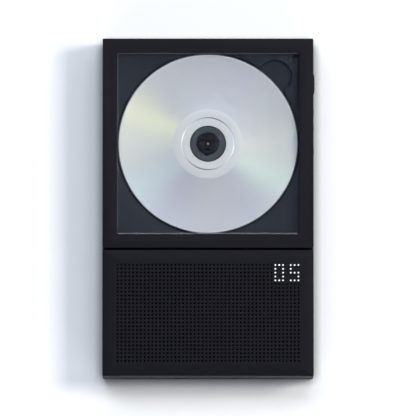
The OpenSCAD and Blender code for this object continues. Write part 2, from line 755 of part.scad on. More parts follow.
// The pane's flange lies behind the frame, and its bevelled middle fills the window
module door_window() color("lightblue", 0.3) upright() {
    layer(pane_front - pane_t, pane_front) rounded(pane, pane, 1);
    top = pane_front + pane_proud;
    layer(pane_front - eps, top - pane_bevel_t) square(window - 0.4, center = true);
    hull() {
        layer(top - pane_bevel_t - eps, top - pane_bevel_t) square(window - 0.4, center = true);
        layer(top - eps, top) square(window - 0.4 - 2 * pane_bevel, center = true);
    }
}

module door_magnet() color("#9a9ca0") upright()
    translate([wall_inner - 1.2, 0, cover_back + 2.6]) cube([2.4, magnet_l, 4], center = true);

module hinge_pins() color("#c9cbd0") upright() for (side = [-1, 1])
    translate([hinge_x, side * hinge_y, hinge_z])
        bar_y(hinge_pin_r, -1.5 * knuckle_l - knuckle_gap, 1.5 * knuckle_l + knuckle_gap);

// Speaker front

function hole_x(column) = (column - (grille_columns + 1) / 2) * grille_pitch;
function hole_y(row) = speaker_mid + ((grille_rows + 1) / 2 - row) * grille_pitch;

// The crown is a parabola, drawn as flat bands that each hold two rows of holes
function dip(y) = grille_crown * pow(2 * y / speaker_h, 2);
bands = grille_rows / 2;
band_edges = concat([-speaker_h / 2], [for (i = [1:bands - 1]) (2 * i - bands) * grille_pitch],
    [speaker_h / 2]);

module crowned_plate() translate([-half_w, 0, 0]) rotate([90, 0, 90])
    linear_extrude(height = case_w) polygon(concat([for (y = band_edges) [y, depth - dip(y)]],
        [for (i = [bands:-1:0]) [band_edges[i], grille_back + grille_crown - dip(band_edges[i])]]));

module speaker_grille() color("#1b1a20") upright() translate([0, speaker_mid, 0]) difference() {
    intersection() {
        crowned_plate();
        layer(grille_back - 1, depth + 1) rounded(case_w, speaker_h, corner_r);
    }
    layer(grille_back - 1, depth + 1) for (column = [1:grille_columns], row = [1:grille_rows])
        translate([hole_x(column), hole_y(row) - speaker_mid])
            circle(d = grille_hole_d, $fn = 24);
    front_bevels(case_w, speaker_h);
}

module speaker_frame() color("#1f1e24") upright() difference() {
    union() {
        layer(cover_back, grille_back) difference() {
            translate([0, speaker_mid]) rounded(case_w, speaker_h, corner_r);
            bay(speaker_top - wall, inner_bottom);
        }
        layer(baffle_back, baffle_back + baffle_t) bay(speaker_top - 1, inner_bottom - 1);
        for (p = front_posts) translate([p[0], p[1], housing_front])
            cylinder(r = post_r, h = grille_back - housing_front);
        for (side = [-1, 1]) translate([side * driver_x, driver_y, 0]) driver_bosses();
    }
    for (side = [-1, 1]) translate([side * driver_x, driver_y, baffle_back - 1]) {
        cylinder(r = driver_open_r, h = 6);
        for (x = [-1, 1], y = [-1, 1])
            translate([x * driver_screw, y * driver_screw, 0]) cylinder(r = 1.03, h = 3);
    }
    layer(baffle_back - 1, grille_back + 1) span(hole_x(light_from) - 1.6,
        hole_x(grille_columns) + 1.6, hole_y(light_rows) - 1.6, hole_y(1) + 1.6);
    for (p = front_posts) translate([p[0], p[1], 0]) cylinder(r = screw_r + 0.03, h = screw_tip + 0.2);
}

module driver_bosses() for (x = [-1, 1], y = [-1, 1])
    translate([x * driver_screw, y * driver_screw, baffle_back])
        cylinder(r = 2.2, h = grille_back - baffle_back);

module display_board() color("#1e3a2c") upright() {
    layer(baffle_back - 1.2, baffle_back) difference() {
        span(41.5, 64, hole_y(light_rows) - 4.2, -81);
        translate([62.6, -83]) circle(r = 0.9);
        translate([62.6, -91.5]) circle(r = 0.9);
    }
    translate([52, -86, baffle_back - 2.1]) cube([7, 7, 1.81], center = true);
}

// Two plain digits, each three pins wide and five high, from the left: 0 and 5
digits = [["111", "101", "101", "101", "111"], ["111", "100", "111", "001", "111"]];
function is_lit(column, row) = column != 3 && digits[column < 3 ? 0 : 1][row][column % 4] == "1";

module light_pins(lit) upright() for (column = [0:6], row = [0:light_rows - 1])
    if (is_lit(column, row) == lit)
        translate([hole_x(light_from + column), hole_y(row + 1), baffle_back])
            cylinder(r = light_pin_r, h = depth - 0.2 - baffle_back, $fn = 24);

module light_pins_lit() color("white") light_pins(true);

module light_pins_dark() color("#3c3d42") light_pins(false);

// Drivers are drawn with z = 0 at the back of the baffle
module at_driver(side) upright() translate([side * driver_x, driver_y, baffle_back]) children();

module speaker_basket(side) color("#4a4c51") at_driver(side) difference() {
    union() {
        layer(-driver_flange_t, 0) rounded(driver_flange, driver_flange, 5);
        rotate_extrude() polygon([[13.5, basket_back], [14.6, basket_back], [20.4, -1.2], [20.4, -0.6],
            [19.3, -0.6], [19.3, -1.2], [13.7, basket_back + 1.2], [voice_hole_r, basket_back + 1.2],
            [voice_hole_r, basket_back]]);
    }
    translate([0, 0, basket_back - 1]) cylinder(r = voice_hole_r, h = 12);
    translate([0, 0, -driver_flange_t]) cylinder(r = 19.3, h = 3);
    translate([0, 0, -gasket_t]) cylinder(r = 21, h = 3);
    for (a = [0:90:270]) rotate(a + 45) translate([16.5, 0, -5.4]) cube([9, 12, 5.6], center = true);
    for (x = [-1, 1], y = [-1, 1]) translate([x * driver_screw, y * driver_screw, -driver_flange_t - 1])
        cylinder(r = 1.1, h = driver_flange_t + 2);
}

// Back plate, ring magnet, top plate and pole piece
module speaker_magnet(side) color("#2b2c30") at_driver(side) rotate_extrude() polygon([
    [0, magnet_back], [11.4, magnet_back], [12, magnet_back + 0.6], [12, magnet_back + 1.2],
    [13.5, magnet_back + 1.2], [13.5, basket_back - 1.2], [12.6, basket_back - 1.2],
    [12.6, basket_back], [6.7, basket_back], [6.7, magnet_back + 1.8], [5.1, magnet_back + 1.8],
    [5.1, basket_back], [0, basket_back]]);

module speaker_surround(side) color("#121214") at_driver(side) rotate_extrude() {
    for (rim = [[19, 20.9], [14.9, 16.2]])
        span(rim[0], rim[1], -gasket_t, -gasket_t + surround_t);
    translate([17.5, -gasket_t]) intersection() {
        ring(1.7, 1.7 - surround_t);
        span(-3, 3, 0, 3);
    }
}

// Cone with its dust cap and voice coil
module speaker_cone(side) color("#18181b") at_driver(side) rotate_extrude() polygon([
    [14.9, -gasket_t], [16.2, -gasket_t], [16.2, -0.9], [15.2, -0.9], [6.2, -6.2], [6.2, -14],
    [5.7, -14], [5.7, -4.6], [4.4, -3.4], [2.4, -2.6], [0, -2.3], [0, -1.9], [2.5, -2.2],
    [4.7, -3], [6.3, -4.4], [6.5, -5.4]]);

module speaker_basket_left() speaker_basket(-1);

module speaker_basket_right() speaker_basket(1);

module speaker_magnet_left() speaker_magnet(-1);

module speaker_magnet_right() speaker_magnet(1);

module speaker_surround_left() speaker_surround(-1);

module speaker_surround_right() speaker_surround(1);

module speaker_cone_left() speaker_cone(-1);

module speaker_cone_right() speaker_cone(1);

module speaker_screws() color("#9fa1a6") for (side = [-1, 1]) at_driver(side)
    for (x = [-1, 1], y = [-1, 1]) translate([x * driver_screw, y * driver_screw, 0])
        difference() {
            rotate_extrude() polygon([[0, -2.5], [1.6, -2.5], [2, -2.1], [2, -driver_flange_t],
                [1, -driver_flange_t], [1, 1.8], [0, 1.8]]);
            for (a = [0, 90]) rotate(a) translate([0, 0, -2.5]) cube([2.2, 0.5, 0.9], center = true);
        }

// Electronics

module main_board() color("#1e3a2c") upright() {
    layer(main_board_back, main_board_front) difference() {
        span(-58, 58, -151.6, -76);
        for (p = board_posts) translate(p) circle(r = board_screw_r + 0.3);
    }
    layer(main_board_front - eps, main_board_front + 1.4) {
        span(-12, 0, -104, -92);
        span(14, 24, -100, -94);
        span(-40, -33, -96, -89);
    }
    for (p = [[-53, -98], [-53, -107], [52, -98]]) translate([p[0], p[1], main_board_front - eps])
        cylinder(r = 3, h = 4.5);
}

// Steel shell of a USB-C socket with the tongue left standing inside
module usb_socket() color("#b9bbbf") upright()
    translate([usb_x, speaker_bottom + 0.2, usb_z]) rotate([-90, 0, 0]) difference() {
        linear_extrude(height = usb_l) rounded(usb_w, usb_h, 1.6);
        translate([0, 0, -1]) linear_extrude(height = usb_l - 0.6) difference() {
            rounded(usb_w - 0.6, usb_h - 0.6, 1.3);
            square([6.6, 0.7], center = true);
        }
    }

module headphone_jack() color("#17171a") upright() difference() {
    union() {
        translate([jack_x - 3.2, inner_bottom + 0.6, main_board_front]) cube([6.4, 11.6, 5.2]);
        translate([jack_x, 0, jack_z]) bar_y(2.55, speaker_bottom + 0.2, inner_bottom + 1);
    }
    translate([jack_x, 0, jack_z]) bar_y(jack_r, speaker_bottom - 1, inner_bottom + 11);
}

// Flat cell with its protection board at the top edge
module battery() color("#4a5568") upright() translate([battery_at[0], battery_at[1], housing_back]) {
    layer(0, battery_t) rounded(battery_size[0], battery_size[1], 2.5);
    translate([0, battery_size[1] / 2 + 1, battery_t / 2]) cube([12, 4, 3], center = true);
}

module side_board() color("#1e3a2c") upright() {
    translate([side_board_x, side_board_y, control_z - side_board_w / 2])
        cube([side_board_t, side_board_l, side_board_w]);
    for (y = concat(button_places, [jog_y])) translate([side_board_x + side_board_t - eps, y, control_z]) {
        translate([0, -switch_w / 2, -switch_w / 2]) cube([0.6, switch_w, switch_w]);
        bar_x(0.9, 0, switch_t);
    }
    // Hall sensor that feels the door's magnet
    translate([side_board_x + side_board_t, -8, control_z + 4]) cube([1.2, 3, 2]);
}

// Controls

module jog_carrier() color("#2b2b30") upright() translate([0, jog_y, control_z]) {
    translate([carrier_x, -carrier_l / 2, -3.2]) cube([0.8, carrier_l, 6.4]);
    for (side = [-1, 1]) translate([carrier_x, -3, side * 2.6 - 0.5]) cube([4.2, 6, 1]);
    translate([jog_pivot, 0, -3]) cylinder(r = jog_pin_r, h = 6);
}

module jog_lever() color("#26262c") upright() translate([0, jog_y, control_z])
    difference() {
        layer(-jog_t / 2, jog_t / 2) {
            translate([jog_pivot, 0]) circle(r = jog_neck / 2);
            span(jog_pivot, jog_pad_x + 0.3, -jog_neck / 2, jog_neck / 2);
            difference() {
                intersection() {
                    span(jog_pad_x, half_w + jog_proud, -jog_l / 2, jog_l / 2);
                    translate([half_w + jog_proud - jog_bow_r, 0]) circle(r = jog_bow_r, $fn = 180);
                }
                for (side = [-1, 1]) translate([half_w + jog_proud + 0.1, side * 1.23]) circle(r = 0.5);
            }
        }
        translate([jog_pivot, 0, -3]) cylinder(r = jog_pin_r + 0.07, h = 6);
    }

module side_button(y) color("#26262c") upright() translate([0, y, control_z]) rotate([0, 90, 0])
    rotate_extrude() polygon([[0, stem_end], [0.8, stem_end], [0.8, wall_inner - 0.85],
        [button_d / 2 + 0.6, wall_inner - 0.85], [button_d / 2 + 0.6, wall_inner - 0.05],
        [button_d / 2, wall_inner - 0.05], [button_d / 2, half_w + 0.15],
        [button_d / 2 - 0.25, half_w + 0.35], [0, half_w + 0.35]]);

module volume_up_button() side_button(button_places[0]);

module volume_down_button() side_button(button_places[1]);

module power_button() side_button(button_places[2]);

wall_bracket();
back_cover();
case_screws();
rubber_pads();
housing();
deck();
body_magnet();
hinge_pins();
drive_chassis();
chassis_grommets();
chassis_screws();
spindle_motor();
main_rail();
plain_rail();
sled_motor();
battery();
side_board();
main_board();
usb_socket();
headphone_jack();
speaker_frame();
speaker_grille();
display_board();
light_pins_lit();
light_pins_dark();
speaker_basket_left();
speaker_basket_right();
speaker_magnet_left();
speaker_magnet_right();
speaker_surround_left();
speaker_surround_right();
speaker_cone_left();
speaker_cone_right();
speaker_screws();
door_frame();
door_window();
door_magnet();
compact_disc();
turntable_hub();
grip_ring();
motor_shaft();
hub_claw_low();
hub_claw_right();
hub_claw_left();
pickup_sled();
sled_rack();
lens_holder();
pickup_lens();
idler_gear();
pinion_gear();
jog_carrier();
jog_lever();
volume_up_button();
volume_down_button();
power_button();
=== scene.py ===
"""Looks of a wall mounted disc player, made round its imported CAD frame.

The file is laid out as an add-on: each operator makes one piece or one group of like pieces,
and main() runs them in order. Lengths are metres, apart from names that end in mm and the
profiles that lathe() turns, which are millimetres. The front faces -Y, and the origin is on the
wall behind the middle of the disc.
"""

import math

import bmesh
import bpy
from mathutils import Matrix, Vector


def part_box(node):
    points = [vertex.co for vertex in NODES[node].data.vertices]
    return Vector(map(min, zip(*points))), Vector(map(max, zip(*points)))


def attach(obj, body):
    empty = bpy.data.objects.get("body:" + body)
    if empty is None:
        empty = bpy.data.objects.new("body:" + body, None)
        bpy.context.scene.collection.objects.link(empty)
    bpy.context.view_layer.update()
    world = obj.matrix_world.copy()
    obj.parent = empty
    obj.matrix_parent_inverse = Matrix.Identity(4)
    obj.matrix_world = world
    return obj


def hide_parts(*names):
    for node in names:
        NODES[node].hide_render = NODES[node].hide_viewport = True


bl_info = {
    "name": "Wall Disc Player",
    "version": (1, 0, 0),
    "blender": (4, 5, 0),
    "location": "View3D > Sidebar > Disc Player",
    "description": "Finishes, small parts and studio of a wall mounted disc player",
    "category": "Object",
}

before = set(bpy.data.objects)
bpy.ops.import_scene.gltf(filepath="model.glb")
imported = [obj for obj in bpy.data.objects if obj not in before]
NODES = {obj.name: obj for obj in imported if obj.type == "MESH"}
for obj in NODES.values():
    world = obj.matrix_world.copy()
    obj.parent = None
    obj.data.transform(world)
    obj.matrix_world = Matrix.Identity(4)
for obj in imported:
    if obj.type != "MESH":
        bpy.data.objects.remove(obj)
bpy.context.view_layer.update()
MM = 0.001

# Boxes of the solids that pieces made here stand for, and where the front lies
GRILLE_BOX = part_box("speaker_grille")
DISC_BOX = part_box("compact_disc")
PIN_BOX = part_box("light_pins_lit")
PAD_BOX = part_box("rubber_pads")
SCREW_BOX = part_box("case_screws")
SHAFT_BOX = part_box("motor_shaft")
FRONT_Y = GRILLE_BOX[0].y

# Radii on the disc: its stacking groove, its recorded part, the end of its mirror, its rim
GROOVE_MM = 17.3
RECORDED_MM = 23.1
RECORDED_END_MM = 58.4
MIRROR_END_MM = 59.15
RIM_MM = 60.0

# So close to the axis that a turned profile closes there
POLE_MM = 1e-4


def linear(code):
    """Linear RGBA of an sRGB hex colour."""
    parts = [int(code[i : i + 2], 16) / 255 for i in (1, 3, 5)]
    light = [c / 12.92 if c <= 0.04045 else ((c + 0.055) / 1.055) ** 2.4 for c in parts]
    return (*light, 1.0)


def amount_property(name, text, default, unit="LENGTH"):
    """A length, or another amount that has a unit, that a user may change."""
    return bpy.props.FloatProperty(name=name, description=text, default=default, unit=unit)


def colour_property(name, text, code):
    """A colour that a user may change, given as sRGB hex."""
    return bpy.props.FloatVectorProperty(
        name=name, description=text, subtype="COLOR", size=4, min=0.0, max=1.0, default=linear(code)
    )


class DiscPlayerSizes(bpy.types.PropertyGroup):
    """Sizes of the pieces that are made here."""

    columns: bpy.props.IntProperty(
        name="Columns", description="Columns of holes in the speaker front", default=48, min=2
    )
    rows: bpy.props.IntProperty(
        name="Rows", description="Rows of holes in the speaker front", default=26, min=2
    )
    pitch: amount_property("Pitch", "From one hole to the next", 2.55 * MM)
    hole_radius: amount_property("Hole Radius", "Radius of a hole", 0.65 * MM)
    hole_rim: amount_property("Hole Rim", "Rounding of a hole's front edge", 0.1 * MM)
    grille_thickness: amount_property(
        "Grille Thickness", "Thickness of the perforated plate", 1.6 * MM
    )
    grille_crown: amount_property(
        "Grille Crown", "How far the plate's middle stands out past its edges", 0.03 * MM
    )
    disc_radius: amount_property("Disc Radius", "Radius of the disc", DISC_BOX[1].x)
    clear_radius: amount_property("Clear Middle", "Radius of the disc's clear middle", 12.1 * MM)
    lens_radius: amount_property("Light Radius", "Radius of a light pin", 0.6 * MM)
    edge_round: amount_property("Edge Rounding", "Rounding of the moulded edges", 0.22 * MM)


class DiscPlayerColours(bpy.types.PropertyGroup):
    """Colours of the finishes that show most."""

    door: colour_property("Door", "Moulded door frame", "#111017")
    grille: colour_property("Speaker Front", "Powder coated speaker front", "#0f0e16")
    case: colour_property("Case", "Moulded case", "#131318")
    deck: colour_property("Deck", "Tray under the disc", "#20242d")
    hub: colour_property("Hub", "Hub that carries the disc", "#121418")
    disc: colour_property("Disc", "Metallised face of the disc", "#b7b5b6")
    # Colours of the painted glints on the disc, which stand in for light that its mirror splits
    painted_glint_yellow: colour_property("Disc Yellow", "Yellow glint of the disc", "#d9d6bc")
    painted_glint_green: colour_property("Disc Green", "Green glint of the disc", "#c5d2c8")
    painted_glint_lilac: colour_property("Disc Lilac", "Lilac glint of the disc", "#b0acb9")
    light: colour_property("Light", "Lit dots", "#ffffff")
    wall: colour_property("Wall", "Wall behind the player", "#f4f5f7")


class DiscPlayerStudio(bpy.types.PropertyGroup):
    """Camera and lamps."""

    distance: amount_property("Distance", "From the camera to the front", 6.0)
    framed_width: amount_property(
        "Framed Width", "Width that the picture takes in at the front", 275.8 * MM
    )
    tilt: bpy.props.FloatProperty(
        name="Tilt", description="How far the camera looks up",
        default=math.radians(5.0), subtype="ANGLE",
    )
    aim_height: amount_property("Aim Height", "Height that the picture's middle shows", -43.2 * MM)
    key: amount_property("Key Lamp", "Power of the lamp on the right", 42.0, "POWER")
    fill: amount_property("Fill Lamp", "Power of the broad lamp high in front", 21.0, "POWER")
    rear: amount_property("Back Lamp", "Power of the lamp that lights the back", 60.0, "POWER")
    ambient: bpy.props.FloatProperty(
        name="Ambient", description="Light from the ceiling", default=0.88, min=0.0
    )


# Making meshes and nodes


def add_node(tree, kind, inputs=None, **settings):
    """Add a node with its settings. An input takes a value, a node's output, or a node.

    A node stands for its first output.
    """
    made = tree.nodes.new(kind)
    for key, value in settings.items():
        setattr(made, key, value)
    for key, value in (inputs or {}).items():
        if isinstance(value, bpy.types.Node):
            value = value.outputs[0]
        if isinstance(value, bpy.types.NodeSocket):
            tree.links.new(value, made.inputs[key])
        else:
            made.inputs[key].default_value = value
    return made


def new_object(name, data):
    """Put a mesh, a lamp or a camera into the scene, at the origin."""
    made = bpy.data.objects.new(name, data)
    bpy.context.scene.collection.objects.link(made)
    return made


def plain_mesh(name, verts, faces):
    """A mesh of the given points and faces."""
    mesh = bpy.data.meshes.new(name)
    mesh.from_pydata(verts, [], faces)
    return mesh


def mesh_from(name, verts, faces):
    """A mesh with merged doubles and faces that point outwards."""
    mesh = plain_mesh(name, verts, faces)
    form = bmesh.new()
    form.from_mesh(mesh)
    bmesh.ops.remove_doubles(form, verts=form.verts, dist=1e-7)
    bmesh.ops.recalc_face_normals(form, faces=form.faces)
    form.to_mesh(mesh)
    form.free()
    return mesh


def lathe(name, profile_mm, segments):
    """Turn a closed profile of (radius, distance from the wall) about the axis X = Z = 0."""
    verts, faces = [], []
    count = len(profile_mm)
    for s in range(segments):
        turn = 2 * math.pi * s / segments
        x, z = math.cos(turn) * MM, math.sin(turn) * MM
        verts += [(radius * x, -out * MM, radius * z) for radius, out in profile_mm]
        a, b = s * count, (s + 1) % segments * count
        for i in range(count):
            j = (i + 1) % count
            faces.append((a + i, a + j, b + j, b + i))
    return mesh_from(name, verts, faces)


def smooth(obj, angle=35.0):
    """Shade smooth, with edges sharper than the angle kept crisp."""
    mesh = obj.data
    mesh.shade_smooth()
    mesh.set_sharp_from_angle(angle=math.radians(angle))
    return obj


def settle(obj):
    """Turn what the modifiers make into a plain mesh, and drop them."""
    graph = bpy.context.evaluated_depsgraph_get()
    result = bpy.data.meshes.new_from_object(obj.evaluated_get(graph), depsgraph=graph)
    obj.modifiers.clear()
    old = obj.data
    obj.data = result
    bpy.data.meshes.remove(old)
    return obj


def merged_form(node):
    """A working copy of a node's mesh, whose loose triangles are joined."""
    form = bmesh.new()
    form.from_mesh(NODES[node].data)
    bmesh.ops.remove_doubles(form, verts=form.verts, dist=2e-6)
    return form


def eased_copy(name, node, width, least_mm):
    """A copy of a solid whose outer edges, where longer than the least, are rounded."""
    form = merged_form(node)
    bmesh.ops.dissolve_limit(
        form, angle_limit=math.radians(0.5), verts=form.verts, edges=form.edges
    )
    picked = [
        e
        for e in form.edges
        if len(e.link_faces) == 2
        and e.is_convex
        and e.calc_length() > least_mm * MM
        and e.calc_face_angle() > math.radians(30)
    ]
    bmesh.ops.bevel(
        form, geom=picked, offset=width, offset_type="OFFSET", segments=2, profile=0.5,
        affect="EDGES", clamp_overlap=True,
    )
    mesh = bpy.data.meshes.new(name)
    form.to_mesh(mesh)
    form.free()
    return smooth(new_object(name, mesh), 40.0)


def new_tree(name, inputs):
    """A geometry tree with its inputs' names and kinds, and what those inputs give."""
    tree = bpy.data.node_groups.new(name, "GeometryNodeTree")
    for title, kind in inputs.items():
        tree.interface.new_socket(name=title, in_out="INPUT", socket_type="NodeSocket" + kind)
    tree.interface.new_socket(name="Geometry", in_out="OUTPUT", socket_type="NodeSocketGeometry")
    return tree, add_node(tree, "NodeGroupInput").outputs


def end_tree(tree, geometry, finish):
    """End a tree with real geometry that has its finish, because the export drops instances."""
    real = add_node(tree, "GeometryNodeRealizeInstances", {"Geometry": geometry})
    dressed = add_node(tree, "GeometryNodeSetMaterial", {"Geometry": real, "Material": finish})
    add_node(tree, "NodeGroupOutput", {"Geometry": dressed})
    return tree


def repeat_tree():
    """Tree that puts a unit on each point of the object's own mesh."""
    tree, given = new_tree(
        "Repeat Unit",
        {"Geometry": "Geometry", "Unit": "Object", "Unit Scale": "Float", "Finish": "Material"},
    )
    unit = add_node(tree, "GeometryNodeObjectInfo", {"Object": given["Unit"]})
    spread = add_node(
        tree,
        "GeometryNodeInstanceOnPoints",
        {
            "Points": given["Geometry"],
            "Instance": unit.outputs["Geometry"],
            "Scale": given["Unit Scale"],
        },
    )
    return end_tree(tree, spread, given["Finish"])


def grille_tree():
    """Tree that fills a margin with perforated tiles and gives the plate its crown."""
    tree, given = new_tree(
        "Perforated Plate",
        {
            "Geometry": "Geometry",
            "Tile": "Object",
            "Columns": "Int",
            "Rows": "Int",
            "Pitch": "Float",
            "Middle Height": "Float",
            "Half Height": "Float",
            "Crown": "Float",
            "Finish": "Material",
        },
    )
    spans = []
    for count in ("Columns", "Rows"):
        gaps = add_node(tree, "ShaderNodeMath", {0: given[count], 1: 1.0}, operation="SUBTRACT")
        spans.append(
            add_node(tree, "ShaderNodeMath", {0: gaps, 1: given["Pitch"]}, operation="MULTIPLY")
        )
    places = add_node(
        tree,
        "GeometryNodeMeshGrid",
        {
            "Size X": spans[0],
            "Size Y": spans[1],
            "Vertices X": given["Columns"],
            "Vertices Y": given["Rows"],
        },
    )
    middle = add_node(tree, "ShaderNodeCombineXYZ", {"Z": given["Middle Height"]})
    upright = add_node(
        tree,
        "GeometryNodeTransform",
        {"Geometry": places, "Translation": middle, "Rotation": (math.pi / 2, 0.0, 0.0)},
    )
    tile = add_node(tree, "GeometryNodeObjectInfo", {"Object": given["Tile"]})
    spread = add_node(
        tree,
        "GeometryNodeInstanceOnPoints",
        {"Points": upright, "Instance": tile.outputs["Geometry"]},
    )
    real = add_node(tree, "GeometryNodeRealizeInstances", {"Geometry": spread})
    joined = add_node(tree, "GeometryNodeJoinGeometry", {"Geometry": given["Geometry"]})
    tree.links.new(real.outputs["Geometry"], joined.inputs["Geometry"])
    closed = add_node(
        tree, "GeometryNodeMergeByDistance", {"Geometry": joined, "Distance": 0.01 * MM}
    )
    # The plate dips back towards its top and bottom edges as a parabola
    place = add_node(tree, "GeometryNodeInputPosition")
    height = add_node(tree, "ShaderNodeSeparateXYZ", {0: place}).outputs["Z"]
    rise = add_node(
        tree, "ShaderNodeMath", {0: height, 1: given["Middle Height"]}, operation="SUBTRACT"
    )
    share = add_node(
        tree, "ShaderNodeMath", {0: rise, 1: given["Half Height"]}, operation="DIVIDE"
    )
    square = add_node(tree, "ShaderNodeMath", {0: share, 1: share}, operation="MULTIPLY")
    dip = add_node(tree, "ShaderNodeMath", {0: square, 1: given["Crown"]}, operation="MULTIPLY")
    back = add_node(tree, "ShaderNodeCombineXYZ", {"Y": dip})
    crowned = add_node(tree, "GeometryNodeSetPosition", {"Geometry": closed, "Offset": back})
    return end_tree(tree, crowned, given["Finish"])


def run_tree(obj, tree, **values):
    """Give the object a tree with its inputs, keep the result and drop the modifier."""
    modifier = obj.modifiers.new(tree.name, "NODES")
    modifier.node_group = tree
    ids = {
        item.name: item.identifier
        for item in tree.interface.items_tree
        if item.item_type == "SOCKET" and item.in_out == "INPUT"
    }
    for key, value in values.items():
        modifier[ids[key.replace("_", " ")]] = value
    return settle(obj)


def island_centres(node):
    """Middles (X, Z) of a node's separate solids."""
    form = merged_form(node)
    seen, centres = set(), []
    for start in form.verts:
        if start in seen:
            continue
        group, stack = [], [start]
        seen.add(start)
        while stack:
            point = stack.pop()
            group.append(point.co.copy())
            for edge in point.link_edges:
                other = edge.other_vert(point)
                if other not in seen:
                    seen.add(other)
                    stack.append(other)
        low, high = Vector(map(min, *group)), Vector(map(max, *group))
        centres.append(((low.x + high.x) / 2, (low.z + high.z) / 2))
    form.free()
    return sorted(centres)


def repeated_piece(name, node, unit_mesh, material):
    """One piece with the unit at the middle of each of a node's solids."""
    unit = new_object(name + "_unit", unit_mesh)
    made = new_object(name, plain_mesh(name, [(x, 0.0, z) for x, z in island_centres(node)], []))
    run_tree(made, repeat_tree(), Unit=unit, Unit_Scale=1.0, Finish=material)
    bpy.data.objects.remove(unit)
    made.data.name = name
    return smooth(made)


def hand_over(obj, body, node):
    """Say what carries the piece, and hide the solid that it stands for."""
    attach(obj, body)
    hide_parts(node)


# Finishes


def new_material(name):
    """An empty node material and its tree."""
    material = bpy.data.materials.new(name)
    material.use_nodes = True
    material.node_tree.nodes.clear()
    return material, material.node_tree


def flat_spot(tree):
    """Place across the front, with the depth left out."""
    spot = add_node(tree, "ShaderNodeTexCoord").outputs["Object"]
    return add_node(
        tree, "ShaderNodeVectorMath", {0: spot, 1: (1.0, 0.0, 1.0)}, operation="MULTIPLY"
    )


def axis_distance(tree):
    """Distance from the disc's axis."""
    reach = add_node(tree, "ShaderNodeVectorMath", {0: flat_spot(tree)}, operation="LENGTH")
    return reach.outputs["Value"]


def finish_with(tree, shader):
    """Send a shader to the output."""
    add_node(tree, "ShaderNodeOutputMaterial", {"Surface": shader})


def textured(name, colour, roughness, grain_mm, relief_mm, **surface):
    """A solid finish with a fine grain, a slow change of tone and a little change of gloss.

    surface may give metallic, specular, coat, and tone, which is how much the colour changes.
    """
    material, tree = new_material(name)
    spot = add_node(tree, "ShaderNodeTexCoord").outputs["Object"]
    grain = add_node(
        tree,
        "ShaderNodeTexNoise",
        {"Vector": spot, "Scale": 1 / (grain_mm * MM), "Detail": 3.0, "Roughness": 0.6},
    )
    slow = add_node(tree, "ShaderNodeTexNoise", {"Vector": spot, "Scale": 28.0, "Detail": 2.0})
    both = add_node(tree, "ShaderNodeMix", {0: 0.4, 2: slow, 3: grain})
    tone = surface.get("tone", 0.08)
    tint = add_node(
        tree,
        "ShaderNodeMix",
        {
            0: both,
            6: tuple(c * (1 - tone) for c in colour[:3]) + (1.0,),
            7: tuple(min(1.0, c * (1 + tone)) for c in colour[:3]) + (1.0,),
        },
        data_type="RGBA",
    )
    gloss = add_node(
        tree,
        "ShaderNodeMapRange",
        {
            "Value": both,
            "From Min": 0.3,
            "From Max": 0.7,
            "To Min": max(0.02, roughness - 0.05),
            "To Max": min(1.0, roughness + 0.05),
        },
    )
    bump = add_node(
        tree, "ShaderNodeBump", {"Height": grain, "Strength": 1.0, "Distance": relief_mm * MM}
    )
    shader = add_node(
        tree,
        "ShaderNodeBsdfPrincipled",
        {
            "Base Color": tint.outputs[2],
            "Roughness": gloss,
            "Normal": bump,
            "Metallic": surface.get("metallic", 0.0),
            "Specular IOR Level": surface.get("specular", 0.5),
            "Coat Weight": surface.get("coat", 0.0),
            "Coat Roughness": 0.1,
        },
    )
    finish_with(tree, shader)
    return material


def frosted_middle(tree):
    """The clear middle of a disc is moulded matt where it is clamped: it scatters some light."""
    clamped = 11.4 * MM
    inside = add_node(
        tree, "ShaderNodeMath", {0: axis_distance(tree), 1: clamped}, operation="LESS_THAN"
    )
    share = add_node(tree, "ShaderNodeMath", {0: inside, 1: 0.09}, operation="MULTIPLY")
    return share, add_node(tree, "ShaderNodeBsdfDiffuse", {"Color": linear("#cfdcea")})


def painted_edge_glow(tree):
    """The pane's slanted edges are cut and not polished, so they glow a little and mirror nothing.

    How much they glow is painted light and shade: edges that face the lamp on the right are
    left clear and dark, and the others get a pale matt glow.
    """
    facing = add_node(tree, "ShaderNodeTexCoord").outputs["Normal"]
    parts = add_node(tree, "ShaderNodeSeparateXYZ", {0: facing}).outputs
    # The slanted faces' normals have a Y of about -0.9, the front's has -1
    slant = add_node(
        tree, "ShaderNodeMath", {0: parts["Y"], 1: -0.9, 2: 0.08}, operation="COMPARE"
    )
    # Painted light: a pale matt share where the edge faces away from the lamp on the right, none
    # where it faces it
    glow = add_node(
        tree,
        "ShaderNodeMapRange",
        {"Value": parts["X"], "From Min": 0.05, "From Max": 0.3, "To Min": 0.045, "To Max": 0.0},
    )
    through = add_node(tree, "ShaderNodeBsdfTransparent", {"Color": (0.8, 0.8, 0.82, 1.0)})
    matt = add_node(tree, "ShaderNodeBsdfDiffuse", {"Color": linear("#e6ecf4")})
    return slant, add_node(tree, "ShaderNodeMixShader", {0: glow, 1: through, 2: matt})


def clear_plastic(name, tint, ior, roughness, cover=None):
    """See-through plastic or glass that lets lamps reach what lies behind it.

    cover takes the tree and gives the share and the shader of what lies over it.
    """
    material, tree = new_material(name)
    shader = add_node(
        tree,
        "ShaderNodeBsdfPrincipled",
        {"Base Color": tint, "Transmission Weight": 1.0, "IOR": ior, "Roughness": roughness},
    )
    path = add_node(tree, "ShaderNodeLightPath").outputs
    passing = add_node(
        tree,
        "ShaderNodeMath",
        {0: path["Is Shadow Ray"], 1: path["Is Diffuse Ray"]},
        operation="MAXIMUM",
    )
    open_way = add_node(tree, "ShaderNodeBsdfTransparent", {"Color": (0.94, 0.95, 0.95, 1.0)})
    mixed = add_node(tree, "ShaderNodeMixShader", {0: passing, 1: shader, 2: open_way})
    if cover:
        share, over = cover(tree)
        mixed = add_node(tree, "ShaderNodeMixShader", {0: share, 1: mixed, 2: over})
    finish_with(tree, mixed)
    return material


